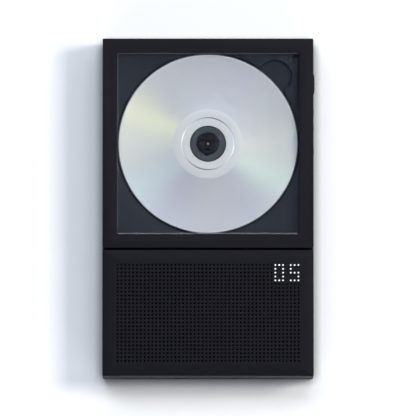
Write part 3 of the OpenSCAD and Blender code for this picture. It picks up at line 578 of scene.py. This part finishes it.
def metallised_disc(colours, clear_radius):
    """Polycarbonate over a sputtered mirror.

    The mirror carries rings as fine as light's own waves, which split light into glints. These
    are painted: soft wedges of yellow, green and lilac that point at the middle, set by angle.
    Inside the recorded part lie a plain mirror ring and a paler ring of bare plastic over white.
    """
    material, tree = new_material("disc_metallised_polycarbonate")
    reach = axis_distance(tree)
    way = add_node(tree, "ShaderNodeVectorMath", {0: flat_spot(tree)}, operation="NORMALIZE")
    # Painted glints: angle of the wedge's middle, how narrow it is, its colour and how strong it is
    painted_glint_wedges = (
        (95.0, 6.0, colours.painted_glint_lilac, 0.35),
        (-95.0, 10.0, colours.painted_glint_lilac, 0.2),
        (-122.0, 14.0, colours.painted_glint_lilac, 0.75),
        (-60.0, 16.0, colours.painted_glint_lilac, 0.55),
        (62.0, 16.0, colours.painted_glint_lilac, 0.45),
        (-148.0, 30.0, linear("#bcc8cc"), 0.6),
        (159.0, 22.0, colours.painted_glint_yellow, 0.95),
        (-26.0, 30.0, colours.painted_glint_green, 0.9),
        (-4.0, 20.0, linear("#cbc8c2"), 0.75),
        (180.0, 18.0, linear("#d0cec7"), 0.6),
    )
    tone = tuple(colours.disc)
    for angle, sharpness, colour, strength in painted_glint_wedges:
        turn = math.radians(angle)
        along = add_node(
            tree,
            "ShaderNodeVectorMath",
            {0: way, 1: (math.cos(turn), 0.0, math.sin(turn))},
            operation="DOT_PRODUCT",
        )
        near = add_node(
            tree, "ShaderNodeMath", {0: along.outputs["Value"], 1: 0.0}, operation="MAXIMUM"
        )
        focus = add_node(tree, "ShaderNodeMath", {0: near, 1: sharpness}, operation="POWER")
        share = add_node(tree, "ShaderNodeMath", {0: focus, 1: strength}, operation="MULTIPLY")
        tone = add_node(
            tree, "ShaderNodeMix", {"Factor": share, 6: tone, 7: tuple(colour)}, data_type="RGBA"
        ).outputs[2]
    # Painted light and shade on the stacking groove: its sides face along the radius, so it is
    # painted bright towards the sides and dark up and down
    off_middle = add_node(
        tree, "ShaderNodeMath", {0: reach, 1: GROOVE_MM * MM}, operation="SUBTRACT"
    )
    off = add_node(tree, "ShaderNodeMath", {0: off_middle}, operation="ABSOLUTE")
    groove = add_node(
        tree,
        "ShaderNodeMapRange",
        {
            "Value": off,
            "From Min": 0.25 * MM,
            "From Max": 0.55 * MM,
            "To Min": 1.0,
            "To Max": 0.0,
        },
    )
    tilt = math.radians(-15.0)
    level = add_node(
        tree,
        "ShaderNodeVectorMath",
        {0: way, 1: (math.cos(tilt), 0.0, math.sin(tilt))},
        operation="DOT_PRODUCT",
    )
    size = add_node(tree, "ShaderNodeMath", {0: level.outputs["Value"]}, operation="ABSOLUTE")
    painted_groove_light = add_node(tree, "ShaderNodeValToRGB", {0: size})
    # From the middle out: how much of the wedges' tone shows over the paler ring's
    rings = add_node(tree, "ShaderNodeMath", {0: reach, 1: RIM_MM * MM}, operation="DIVIDE")
    ramp = add_node(tree, "ShaderNodeValToRGB", {0: rings})
    shares = (
        (clear_radius / MM, 0.0),
        (GROOVE_MM, 0.0),
        (GROOVE_MM + 0.3, 0.1),
        (RECORDED_MM - 0.3, 0.1),
        (RECORDED_MM + 0.2, 1.0),
        (RECORDED_END_MM - 0.1, 1.0),
        (RECORDED_END_MM + 0.2, 0.35),
    )
    painted_groove_light_stops = ((0.2, linear("#7f8388")), (0.97, linear("#dcdfe6")), (1.0, linear("#ffffff")))
    for node, stops in (
        (ramp, [(radius / RIM_MM, (share, share, share, 1.0)) for radius, share in shares]),
        (painted_groove_light, painted_groove_light_stops),
    ):
        band = node.color_ramp.elements
        while len(band) < len(stops):
            band.new(0.5)
        for element, (where, colour) in zip(band, stops):
            element.position, element.color = where, colour
    # The mirror stops short of the rim, whose bare plastic shows the dark tray
    bare = add_node(
        tree,
        "ShaderNodeMapRange",
        {"Value": reach, "From Min": MIRROR_END_MM * MM, "From Max": (MIRROR_END_MM + 0.25) * MM},
    )
    # Over the paler ring go the painted glints, the groove's painted light and shade, and the bare
    # rim
    shown = linear("#cac8c8")
    for share, colour in ((ramp, tone), (groove, painted_groove_light), (bare, linear("#4b4f55"))):
        shown = add_node(
            tree, "ShaderNodeMix", {"Factor": share, 6: shown, 7: colour}, data_type="RGBA"
        ).outputs[2]
    metal = add_node(tree, "ShaderNodeMapRange", {"Value": ramp, "To Min": 0.1, "To Max": 0.3})
    # Faint rings of the track, drawn a millimetre apart because the real ones don't show
    track = add_node(
        tree, "ShaderNodeMath", {0: reach, 1: 2 * math.pi / MM}, operation="MULTIPLY"
    )
    wave = add_node(tree, "ShaderNodeMath", {0: track}, operation="SINE")
    gloss = add_node(
        tree,
        "ShaderNodeMapRange",
        {"Value": wave, "From Min": -1.0, "From Max": 1.0, "To Min": 0.44, "To Max": 0.48},
    )
    shader = add_node(
        tree,
        "ShaderNodeBsdfPrincipled",
        {
            "Base Color": shown,
            "Metallic": metal,
            "Roughness": gloss,
            "Coat Weight": 0.3,
            "Coat Roughness": 0.15,
        },
    )
    finish_with(tree, shader)
    return material


def lit_plastic(name, colour, strength):
    """Diffusing plastic with a lamp behind it, a little less bright at its edge."""
    material, tree = new_material(name)
    facing = add_node(tree, "ShaderNodeLayerWeight", {"Blend": 0.3}).outputs["Facing"]
    glow = add_node(
        tree,
        "ShaderNodeMapRange",
        {"Value": facing, "To Min": strength, "To Max": strength * 0.6},
    )
    shader = add_node(
        tree,
        "ShaderNodeBsdfPrincipled",
        {
            "Base Color": colour,
            "Emission Color": colour,
            "Emission Strength": glow,
            "Roughness": 0.4,
        },
    )
    finish_with(tree, shader)
    return material


# Name: colour, roughness, grain in mm, relief in mm, more. Each is a common material as it is
# made, and the comment says what that gives the eye. A grain that is finer than about 0.25 mm
# doesn't show, so it is drawn as coarse as that.
PLAIN_FINISHES = {
    # Spark eroded mould: an even, fine pebble that scatters highlights into a soft sheen
    "case_textured_abs": ("case", 0.55, 0.5, 0.012, {"specular": 0.12}),
    "door_textured_abs": ("door", 0.5, 0.4, 0.008, {"specular": 0.1, "tone": 0.05}),
    "control_textured_abs": ("#15151a", 0.5, 0.3, 0.01, {"specular": 0.15}),
    # Powder coat on steel: a slight orange peel, duller than the door
    "grille_powder_coated_steel": ("grille", 0.55, 0.9, 0.01, {"specular": 0.1, "tone": 0.05}),
    # Satin mould: smoother than the case, so the disc's edge is faintly mirrored
    "deck_satin_abs": ("deck", 0.45, 0.35, 0.006, {"specular": 0.12, "tone": 0.06}),
    # Slippery moulded plastics: waxy, with soft broad highlights, black or milky
    "hub_moulded_acetal": ("hub", 0.4, 0.3, 0.006, {"specular": 0.15}),
    "natural_acetal": ("#e3e0d6", 0.4, 0.4, 0.005, {"tone": 0.04, "coat": 0.1}),
    # Pressed rubber: matt, with a little dust in its tone
    "pressed_nitrile_rubber": ("#15151a", 0.8, 0.3, 0.015, {"specular": 0.25, "tone": 0.15}),
    # Bright plating: zinc is cool and slightly clouded, nickel is warmer, thicker and clearer
    "zinc_plated_steel": ("#b4b8bd", 0.34, 1.6, 0.004, {"metallic": 1.0, "tone": 0.12}),
    "pressed_nickel_steel": ("#9fa3a8", 0.3, 0.8, 0.003, {"metallic": 1.0, "tone": 0.08}),
    "neodymium_nickel": ("#c2c5c8", 0.25, 0.6, 0.002, {"metallic": 1.0}),
    # Ground rod: an even, bright surface with a sharp highlight
    "ground_steel": ("#d6d9de", 0.18, 0.25, 0.002, {"metallic": 1.0, "tone": 0.04}),
    # Oiled oxide: nearly black, with a dull metal glint
    "black_oxide_screw_steel": ("#2e2f34", 0.38, 0.3, 0.004, {"metallic": 0.9, "tone": 0.1}),
    # Die casting: grey, cloudy and slightly rough
    "cast_sled_zamak": ("#5a5d63", 0.45, 0.5, 0.012, {"metallic": 0.8, "tone": 0.12}),
    # Filled mouldings: dark, and duller than plain plastic because the filler reaches the skin
    "lens_holder_lcp": ("#1b1b1f", 0.5, 0.25, 0.006, {}),
    "jack_glass_filled_nylon": ("#17171a", 0.5, 0.3, 0.01, {}),
    # Solder mask: glossy green lacquer over copper, its tone changing from place to place
    "solder_mask_fibreglass": ("#1d4a34", 0.28, 2.2, 0.02, {"coat": 0.5, "tone": 0.35}),
    # Film shrunk onto the cell: glossy, with slow waves
    "cell_shrink_wrap": ("#3f5b7c", 0.3, 2.5, 0.03, {"coat": 0.4, "tone": 0.08}),
    # Stamped and dipped: dark grey, with the metal's glint under it
    "stamped_basket_steel": ("#4a4c51", 0.4, 0.7, 0.006, {"metallic": 0.8, "tone": 0.1}),
    # Fired powder: stony and dark, with a hard faint shine
    "sintered_ferrite": ("#2a2b2f", 0.55, 0.5, 0.02, {"tone": 0.15, "specular": 0.6}),
    # Pulp cone: fibres pressed flat, all directions
    "pressed_paper_pulp": ("#1d1d20", 0.85, 0.6, 0.05, {"tone": 0.2, "specular": 0.2}),
    # Pressed butyl: black, softly shining on its roll
    "butyl_surround": ("#141416", 0.6, 0.4, 0.01, {"specular": 0.4}),
}

# The solids that keep their shape, by finish
CARRIED_OVER = {
    "zinc_plated_steel": ("wall_bracket", "drive_chassis"),
    "neodymium_nickel": ("body_magnet", "door_magnet"),
    "ground_steel": ("hinge_pins", "main_rail", "plain_rail"),
    "pressed_nitrile_rubber": ("chassis_grommets", "grip_ring"),
    "pressed_nickel_steel": (
        "chassis_screws", "spindle_motor", "sled_motor", "usb_socket", "speaker_screws",
    ),
    "cell_shrink_wrap": ("battery",),
    "solder_mask_fibreglass": ("side_board", "main_board", "display_board"),
    "jack_glass_filled_nylon": ("headphone_jack",),
    "case_textured_abs": ("speaker_frame",),
    "stamped_basket_steel": ("speaker_basket_left", "speaker_basket_right"),
    "sintered_ferrite": ("speaker_magnet_left", "speaker_magnet_right"),
    "butyl_surround": ("speaker_surround_left", "speaker_surround_right"),
    "pressed_paper_pulp": ("speaker_cone_left", "speaker_cone_right"),
    "hub_moulded_acetal": ("turntable_hub",),
    "cast_sled_zamak": ("pickup_sled",),
    "natural_acetal": ("sled_rack", "idler_gear", "pinion_gear"),
    "lens_holder_lcp": ("lens_holder",),
    "control_textured_abs": (
        "hub_claw_low", "hub_claw_right", "hub_claw_left", "jog_carrier", "jog_lever",
        "volume_up_button", "volume_down_button", "power_button",
    ),
}


def plain_finish(name):
    """The named finish, made the first time that it is asked for."""
    if name in bpy.data.materials:
        return bpy.data.materials[name]
    colour, roughness, grain_mm, relief_mm, more = PLAIN_FINISHES[name]
    own = bpy.context.scene.disc_player_colours
    colour = linear(colour) if colour.startswith("#") else tuple(getattr(own, colour))
    return textured(name, colour, roughness, grain_mm, relief_mm, **more)


def dress(obj, material):
    """Give the object one material."""
    obj.data.materials.clear()
    obj.data.materials.append(material)
    return obj


# Operators


class DISCPLAYER_OT_finishes(bpy.types.Operator):
    """Give every part that keeps its solid the finish of its real material"""

    bl_idname = "disc_player.finishes"
    bl_label = "Finishes"

    def execute(self, context):
        for finish, nodes in CARRIED_OVER.items():
            for node in nodes:
                smooth(dress(NODES[node], plain_finish(finish)), 30.0)
        # Cast acrylic: clear, with a sharp reflection and hardly any tint
        pane = clear_plastic("door_clear_acrylic", linear("#f4f8fa"), 1.49, 0.0, painted_edge_glow)
        dress(NODES["door_window"], pane)
        # Moulded glass lens: clear with a blue coating
        lens = clear_plastic("lens_coated_glass", linear("#a8c4ee"), 1.6, 0.0)
        dress(NODES["pickup_lens"], lens)
        return {"FINISHED"}


class DISCPLAYER_OT_shells(bpy.types.Operator):
    """Make the moulded shells with rounded edges: housing, back cover, deck and door frame"""

    bl_idname = "disc_player.shells"
    bl_label = "Moulded Shells"

    def execute(self, context):
        width = context.scene.disc_player_sizes.edge_round
        # Piece, its solid, body, slot and finish
        shells = (
            ("housing_shell", "housing", "case", "case_plastic", "case_textured_abs"),
            ("back_cover_shell", "back_cover", "case", "case_plastic", "case_textured_abs"),
            ("deck_tray", "deck", "case", "deck_plastic", "deck_satin_abs"),
            ("door_shell", "door_frame", "door", "front_plastic", "door_textured_abs"),
        )
        for name, node, body, slot, finish in shells:
            made = dress(eased_copy(name, node, width, least_mm=1.5), plain_finish(finish))
            hand_over(made, body, node)
        return {"FINISHED"}


class DISCPLAYER_OT_grille(bpy.types.Operator):
    """Make the perforated speaker front, whose holes have rounded front edges"""

    bl_idname = "disc_player.grille"
    bl_label = "Speaker Front"

    def execute(self, context):
        sizes = context.scene.disc_player_sizes
        tile = new_object("grille_tile", self.tile_mesh(sizes))
        plate = new_object("speaker_front_plate", self.margin_mesh(sizes))
        low, high = GRILLE_BOX
        run_tree(
            plate,
            grille_tree(),
            Tile=tile,
            Columns=sizes.columns,
            Rows=sizes.rows,
            Pitch=sizes.pitch,
            Middle_Height=(low.z + high.z) / 2,
            Half_Height=(high.z - low.z) / 2,
            Crown=sizes.grille_crown,
            Finish=plain_finish("grille_powder_coated_steel"),
        )
        bpy.data.objects.remove(tile)
        smooth(plate, 40.0)
        hand_over(plate, "case", "speaker_grille")
        return {"FINISHED"}

    def tile_mesh(self, sizes):
        """One square of the plate with its hole, in 12 sectors whose corners meet the square's."""
        half, hole, rim = sizes.pitch / 2, sizes.hole_radius, sizes.hole_rim
        front, back = FRONT_Y, FRONT_Y + sizes.grille_thickness
        # Radius and depth from the square's front edge, through the hole, to its back edge
        rings = (
            (None, front),
            (hole + rim, front),
            (hole + rim * 0.3, front + rim * 0.3),
            (hole, front + rim),
            (hole, back),
            (None, back),
        )
        sectors = 12
        verts, faces = [], []
        for radius, depth in rings:
            for s in range(sectors):
                turn = math.pi / 4 + 2 * math.pi * s / sectors
                x, z = math.cos(turn), math.sin(turn)
                reach = half / max(abs(x), abs(z)) if radius is None else radius
                verts.append((x * reach, depth, z * reach))
        for start in range(0, sectors * (len(rings) - 1), sectors):
            for s in range(sectors):
                a, b = start + s, start + (s + 1) % sectors
                faces.append((a, a + sectors, b + sectors, b))
        return plain_mesh("grille_tile", verts, faces)

    def margin_mesh(self, sizes):
        """The plate's plain margin, whose inner edge has points where the tiles' points are."""
        low, high = GRILLE_BOX
        middle = (low.z + high.z) / 2
        inner_x, inner_z = sizes.columns * sizes.pitch / 2, sizes.rows * sizes.pitch / 2
        outer_x, outer_z = (high.x - low.x) / 2, (high.z - low.z) / 2
        third = math.tan(math.pi / 12)

        def along(count, reach):
            """Places of the tiles' points along one side, ends included."""
            places = [-reach]
            for i in range(count):
                centre = -reach + (i + 0.5) * sizes.pitch
                places += [centre + share * sizes.pitch / 2 for share in (-third, third, 1.0)]
            return places

        xs, zs = along(sizes.columns, inner_x), along(sizes.rows, inner_z)
        inner = [(x, -inner_z) for x in xs[:-1]] + [(inner_x, z) for z in zs[:-1]]
        inner += [(-x, inner_z) for x in xs[:-1]] + [(-inner_x, -z) for z in zs[:-1]]
        front, back = FRONT_Y, FRONT_Y + sizes.grille_thickness
        ease, corner = 0.35 * MM, 1.0 * MM

        def outline(inset):
            """The plate's outer edge, one point for each inner one, drawn in by inset."""
            points = []
            for x, z in inner:
                scale = min(outer_x / max(abs(x), 1e-9), outer_z / max(abs(z), 1e-9))
                px, pz = x * scale, z * scale
                # The corner is rounded: a point past its start is put on the arc
                cx, cz = outer_x - corner, outer_z - corner
                if abs(px) > cx and abs(pz) > cz:
                    dx, dz = abs(px) - cx, abs(pz) - cz
                    size = math.hypot(dx, dz)
                    px = math.copysign(cx + dx / size * (corner - inset), px)
                    pz = math.copysign(cz + dz / size * (corner - inset), pz)
                else:
                    px = max(-outer_x + inset, min(outer_x - inset, px))
                    pz = max(-outer_z + inset, min(outer_z - inset, pz))
                points.append((px, pz))
            return points

        loops = (
            (front, inner),
            (front, outline(ease)),
            (front + ease * 0.3, outline(ease * 0.3)),
            (front + ease, outline(0.0)),
            (back, outline(0.0)),
            (back, inner),
        )
        verts = [(x, depth, z + middle) for depth, points in loops for x, z in points]
        count = len(inner)
        faces = []
        for start in range(0, count * (len(loops) - 1), count):
            for i in range(count):
                a, b = start + i, start + (i + 1) % count
                faces.append((a, b, b + count, a + count))
        return plain_mesh("speaker_front_plate", verts, faces)


class DISCPLAYER_OT_disc(bpy.types.Operator):
    """Make the disc, as a metallised part and a clear middle, and the shaft that turns it"""

    bl_idname = "disc_player.disc"
    bl_label = "Disc"

    def execute(self, context):
        sizes = context.scene.disc_player_sizes
        front, back = -DISC_BOX[0].y / MM, -DISC_BOX[1].y / MM
        rim, seam = sizes.disc_radius / MM, sizes.clear_radius / MM
        # Radius of the hole, rounding of the rim, and depths of the groove and the recorded part
        hole, soft, groove, dip = 7.5, 0.3, 0.28, 0.03
        turned = [
            (seam, front),
            (GROOVE_MM - 0.4, front),
            (GROOVE_MM - 0.1, front - groove),
            (GROOVE_MM + 0.1, front - groove),
            (GROOVE_MM + 0.4, front),
            (RECORDED_MM, front),
            (RECORDED_MM + 0.15, front - dip),
            (RECORDED_END_MM, front - dip),
            (RECORDED_END_MM + 0.15, front),
            (rim - soft, front),
            (rim - soft * 0.3, front - soft * 0.3),
            (rim, front - soft),
            (rim, back + soft),
            (rim - soft * 0.3, back + soft * 0.3),
            (rim - soft, back),
            (seam, back),
        ]
        body = new_object("disc_body", lathe("disc_body", turned, 192))
        finish = metallised_disc(context.scene.disc_player_colours, sizes.clear_radius)
        dress(smooth(body, 30.0), finish)
        edge, gap = 0.2, 0.02
        clear = [
            (hole, front - edge),
            (hole + edge, front),
            (seam - gap, front),
            (seam - gap, back),
            (hole + edge, back),
            (hole, back + edge),
        ]
        middle = new_object("disc_clear_middle", lathe("disc_clear_middle", clear, 96))
        # Clear polycarbonate: water clear and hardly blue, with a frosted clamping ring
        glassy = clear_plastic(
            "disc_clear_polycarbonate", linear("#cfdcea"), 1.58, 0.02, frosted_middle
        )
        dress(smooth(middle, 30.0), glassy)
        for made in (body, middle):
            hand_over(made, "disc_hub", "compact_disc")

        # The shaft: a rod with a domed tip
        radius, tip, end = SHAFT_BOX[1].x / MM, -SHAFT_BOX[0].y / MM, -SHAFT_BOX[1].y / MM
        rod = [(POLE_MM, tip)]
        for step in range(1, 9):
            turn = math.pi / 2 * step / 8
            rod.append((radius * math.sin(turn), tip - radius * (1 - math.cos(turn))))
        rod += [(radius, end + edge), (radius - edge, end), (POLE_MM, end)]
        shaft = new_object("motor_shaft_domed", lathe("motor_shaft_domed", rod, 32))
        dress(smooth(shaft, 50.0), plain_finish("ground_steel"))
        hand_over(shaft, "disc_hub", "motor_shaft")
        return {"FINISHED"}


class DISCPLAYER_OT_lights(bpy.types.Operator):
    """Make the domed light pins behind the speaker front, the lit ones and the dark ones"""

    bl_idname = "disc_player.lights"
    bl_label = "Light Pins"

    def execute(self, context):
        radius = context.scene.disc_player_sizes.lens_radius / MM
        front, back = -PIN_BOX[0].y / MM, -PIN_BOX[1].y / MM
        dome = 0.28
        profile = [
            (POLE_MM, front),
            (radius * 0.5, front - dome * 0.12),
            (radius * 0.87, front - dome * 0.5),
            (radius, front - dome),
            (radius, back),
            (POLE_MM, back),
        ]
        colour = tuple(context.scene.disc_player_colours.light)
        finishes = {
            "lit": lit_plastic("lit_diffusing_polycarbonate", colour, 0.25),
            # Smoked plastic with no lamp on: as dark as the open holes round it
            "dark": textured(
                "unlit_diffusing_polycarbonate", linear("#0b0b0e"), 0.5, 0.2, 0.004, specular=0.2
            ),
        }
        for kind, finish in finishes.items():
            unit = lathe("light_pin_" + kind, profile, 12)
            made = repeated_piece("light_lenses_" + kind, "light_pins_" + kind, unit, finish)
            hand_over(made, "case", "light_pins_" + kind)
        return {"FINISHED"}


class DISCPLAYER_OT_fixings(bpy.types.Operator):
    """Make the case screws, with pan heads and cross recesses, and the grooved rubber feet"""

    bl_idname = "disc_player.fixings"
    bl_label = "Screws and Feet"

    def execute(self, context):
        top, tip = -SCREW_BOX[1].y / MM, -SCREW_BOX[0].y / MM
        # Radii of the head, the shank and the point, and the head's depth
        head, shank, point, head_depth = 2.4, 1.2, 0.6, 1.1
        profile = [
            (POLE_MM, top),
            (head - 0.5, top),
            (head - 0.15, top + 0.2),
            (head, top + 0.5),
            (head, top + head_depth),
            (shank, top + head_depth),
            (shank, tip - 0.6),
            (point, tip),
            (POLE_MM, tip),
        ]
        screw = self.cut_cross(lathe("case_screw", profile, 32), top)
        steel = plain_finish("black_oxide_screw_steel")
        screws = repeated_piece("back_screws", "case_screws", screw, steel)
        hand_over(screws, "case", "case_screws")

        # The feet stand 50 mm to either side, which with their box gives their radius
        foot_x = 50.0
        reach = (PAD_BOX[1].x - PAD_BOX[0].x) / 2 / MM - foot_x
        front = -PAD_BOX[0].y / MM
        sole = [(POLE_MM, 0.0)]
        for inner in (1.2, 2.2, 3.2):
            sole += [(inner, 0.0), (inner + 0.12, 0.25), (inner + 0.38, 0.25), (inner + 0.5, 0.0)]
        sole += [(reach - 0.5, 0.0), (reach - 0.15, 0.15), (reach, 0.5), (reach, front)]
        foot = lathe("rubber_foot", [*sole, (POLE_MM, front)], 40)
        rubber = plain_finish("pressed_nitrile_rubber")
        feet = repeated_piece("rubber_feet", "rubber_pads", foot, rubber)
        hand_over(feet, "case", "rubber_pads")
        return {"FINISHED"}

    def cut_cross(self, mesh, top):
        """Cut a tapered cross recess into the head, with one tapered block for each bar of it."""
        faces = (
            (0, 1, 2, 3), (7, 6, 5, 4), (0, 4, 5, 1), (1, 5, 6, 2), (2, 6, 7, 3), (3, 7, 4, 0)
        )
        body = new_object("screw_blank", mesh)
        cutters = []
        for flip in (False, True):
            verts = []
            # Distance from the wall, half length and half width, at the block's mouth and floor
            for out, long, wide in ((top - 0.1, 1.35, 0.3), (top + 0.75, 0.7, 0.18)):
                for x, z in ((-long, -wide), (long, -wide), (long, wide), (-long, wide)):
                    x, z = (-z, x) if flip else (x, z)
                    verts.append((x * MM, -out * MM, z * MM))
            cutters.append(new_object("cutter", mesh_from("cutter", verts, faces)))
            cut = body.modifiers.new("Recess", "BOOLEAN")
            cut.object, cut.operation, cut.solver = cutters[-1], "DIFFERENCE", "EXACT"
        result = settle(body).data
        for made in (body, *cutters):
            bpy.data.objects.remove(made)
        return result


class DISCPLAYER_OT_studio(bpy.types.Operator):
    """Make the pale wall and floor, the lamps, the world and the camera"""

    bl_idname = "disc_player.studio"
    bl_label = "Studio"

    def execute(self, context):
        studio = context.scene.disc_player_studio
        self.wall(context)
        self.lamps(studio)
        self.world(context, studio)
        self.camera(context, studio)
        return {"FINISHED"}

    def wall(self, context):
        """One sweep: the wall, a round cove and the floor. From behind it isn't there."""
        half, top, floor, cove = 1.6, 1.5, -1.3, 0.4
        # The wall stands a little behind the origin, so that it doesn't touch the feet
        gap, reach, steps = 0.4 * MM, 1.7, 12
        line = [(gap, top), (gap, floor + cove)]
        for i in range(1, steps + 1):
            turn = math.pi / 2 * i / steps
            line.append((gap - cove * (1 - math.cos(turn)), floor + cove * (1 - math.sin(turn))))
        line.append((-reach, floor))
        verts = [(x, y, z) for y, z in line for x in (-half, half)]
        faces = [(2 * i, 2 * i + 2, 2 * i + 3, 2 * i + 1) for i in range(len(line) - 1)]
        wall = new_object("studio_wall", plain_mesh("studio_wall", verts, faces))
        wall.data.shade_smooth()
        # Matt emulsion: flat and even, with a stipple that only just breaks its smoothness
        material, tree = new_material("wall_matt_emulsion")
        colour = tuple(context.scene.disc_player_colours.wall)
        spot = add_node(tree, "ShaderNodeTexCoord").outputs["Object"]
        stipple = add_node(
            tree, "ShaderNodeTexNoise", {"Vector": spot, "Scale": 900.0, "Detail": 2.0}
        )
        bump = add_node(
            tree, "ShaderNodeBump", {"Height": stipple, "Strength": 0.2, "Distance": 0.04 * MM}
        )
        # Painted contact shadow: within a few millimetres of the case the wall's colour is darkened
        # by how shut in the wall is there
        painted_contact_shadow = add_node(
            tree, "ShaderNodeAmbientOcclusion", {"Distance": 6.5 * MM}, samples=8
        )
        painted_shadow_share = add_node(
            tree, "ShaderNodeMath", {0: painted_contact_shadow.outputs["AO"], 1: 1.25}, operation="POWER"
        )
        shade = add_node(
            tree,
            "ShaderNodeMix",
            {"Factor": painted_shadow_share, 6: (0.0, 0.0, 0.0, 1.0), 7: colour},
            data_type="RGBA",
        )
        paint = add_node(
            tree,
            "ShaderNodeBsdfPrincipled",
            {
                "Base Color": shade.outputs[2],
                "Roughness": 0.9,
                "Specular IOR Level": 0.1,
                "Normal": bump,
            },
        )
        path = add_node(tree, "ShaderNodeLightPath").outputs
        behind = add_node(tree, "ShaderNodeNewGeometry").outputs
        gone = add_node(
            tree,
            "ShaderNodeMath",
            {0: behind["Backfacing"], 1: path["Is Shadow Ray"]},
            operation="MAXIMUM",
        )
        clear = add_node(tree, "ShaderNodeBsdfTransparent")
        mixed = add_node(tree, "ShaderNodeMixShader", {0: gone, 1: paint, 2: clear})
        finish_with(tree, mixed)
        dress(wall, material)

    def lamps(self, studio):
        """A broad lamp high in front, a smaller one on the right, and one for the back."""
        # Name, place, width and height, power, and colour
        places = (
            ("fill_lamp", (-0.2, -1.9, 0.85), (2.0, 0.8), studio.fill, (0.84, 0.9, 1.0)),
            ("key_lamp", (1.7, -1.9, 0.25), (0.8, 0.7), studio.key, (1.0, 0.965, 0.91)),
            ("back_lamp", (0.5, 2.0, 0.8), (1.6, 1.2), studio.rear, (0.97, 0.98, 1.0)),
        )
        aim = Vector((0.0, 0.0, -0.04))
        for name, place, size, power, colour in places:
            lamp = bpy.data.lights.new(name, "AREA")
            lamp.shape = "RECTANGLE"
            lamp.size, lamp.size_y = size
            lamp.energy = power
            lamp.color = colour
            made = new_object(name, lamp)
            made.location = place
            made.rotation_euler = (aim - Vector(place)).to_track_quat("-Z", "Y").to_euler()
            made.visible_camera = False

    def world(self, context, studio):
        """Air that is lit from above and dim level with the eye. The camera sees it white."""
        world = bpy.data.worlds.new("studio_air")
        context.scene.world = world
        world.use_nodes = True
        tree = world.node_tree
        tree.nodes.clear()
        way = add_node(tree, "ShaderNodeTexCoord").outputs["Object"]
        rise = add_node(tree, "ShaderNodeSeparateXYZ", {0: way}).outputs["Z"]
        ceiling = add_node(
            tree,
            "ShaderNodeMapRange",
            {"Value": rise, "From Min": 0.12, "From Max": 0.6, "To Min": 0.07, "To Max": 1.0},
        )
        level = add_node(
            tree, "ShaderNodeMath", {0: ceiling, 1: studio.ambient}, operation="MULTIPLY"
        )
        path = add_node(tree, "ShaderNodeLightPath").outputs
        shown = add_node(tree, "ShaderNodeMix", {0: path["Is Camera Ray"], 2: level, 3: 1.0})
        air = add_node(
            tree, "ShaderNodeBackground", {"Color": (0.88, 0.93, 1.0, 1.0), "Strength": shown}
        )
        add_node(tree, "ShaderNodeOutputWorld", {"Surface": air})

    def camera(self, context, studio):
        """A long lens from a little below, so that the front's edges stay upright."""
        lens = bpy.data.cameras.new("camera")
        lens.sensor_width = 36.0
        lens.lens = lens.sensor_width * studio.distance / studio.framed_width
        lens.clip_start, lens.clip_end = 0.1, 50.0
        camera = new_object("camera", lens)
        aim = Vector((0.0, FRONT_Y, studio.aim_height))
        back = Vector((0.0, -math.cos(studio.tilt), -math.sin(studio.tilt)))
        camera.location = aim + back * studio.distance
        camera.rotation_euler = (math.pi / 2 + studio.tilt, 0.0, 0.0)
        context.scene.camera = camera
        context.scene.view_settings.view_transform = "Standard"


class DISCPLAYER_PT_panel(bpy.types.Panel):
    """Buttons that make the player's pieces"""

    bl_idname = "DISCPLAYER_PT_panel"
    bl_label = "Disc Player"
    bl_space_type = "VIEW_3D"
    bl_region_type = "UI"
    bl_category = "Disc Player"

    def draw(self, context):
        for step in STEPS:
            self.layout.operator(step.bl_idname)


STEPS = (
    DISCPLAYER_OT_finishes,
    DISCPLAYER_OT_shells,
    DISCPLAYER_OT_grille,
    DISCPLAYER_OT_disc,
    DISCPLAYER_OT_lights,
    DISCPLAYER_OT_fixings,
    DISCPLAYER_OT_studio,
)
GROUPS = (
    ("disc_player_sizes", DiscPlayerSizes),
    ("disc_player_colours", DiscPlayerColours),
    ("disc_player_studio", DiscPlayerStudio),
)


def register():
    """Add the classes and the scene's settings."""
    for name, group in GROUPS:
        bpy.utils.register_class(group)
        setattr(bpy.types.Scene, name, bpy.props.PointerProperty(type=group))
    for step in STEPS:
        bpy.utils.register_class(step)
    bpy.utils.register_class(DISCPLAYER_PT_panel)


def unregister():
    """Take the classes and the scene's settings away again."""
    bpy.utils.unregister_class(DISCPLAYER_PT_panel)
    for step in reversed(STEPS):
        bpy.utils.unregister_class(step)
    for name, group in reversed(GROUPS):
        delattr(bpy.types.Scene, name)
        bpy.utils.unregister_class(group)


def main():
    """Make everything in order."""
    register()
    bpy.ops.disc_player.finishes()
    bpy.ops.disc_player.shells()
    bpy.ops.disc_player.grille()
    bpy.ops.disc_player.disc()
    bpy.ops.disc_player.lights()
    bpy.ops.disc_player.fixings()
    bpy.ops.disc_player.studio()


if __name__ == "__main__":
    main()
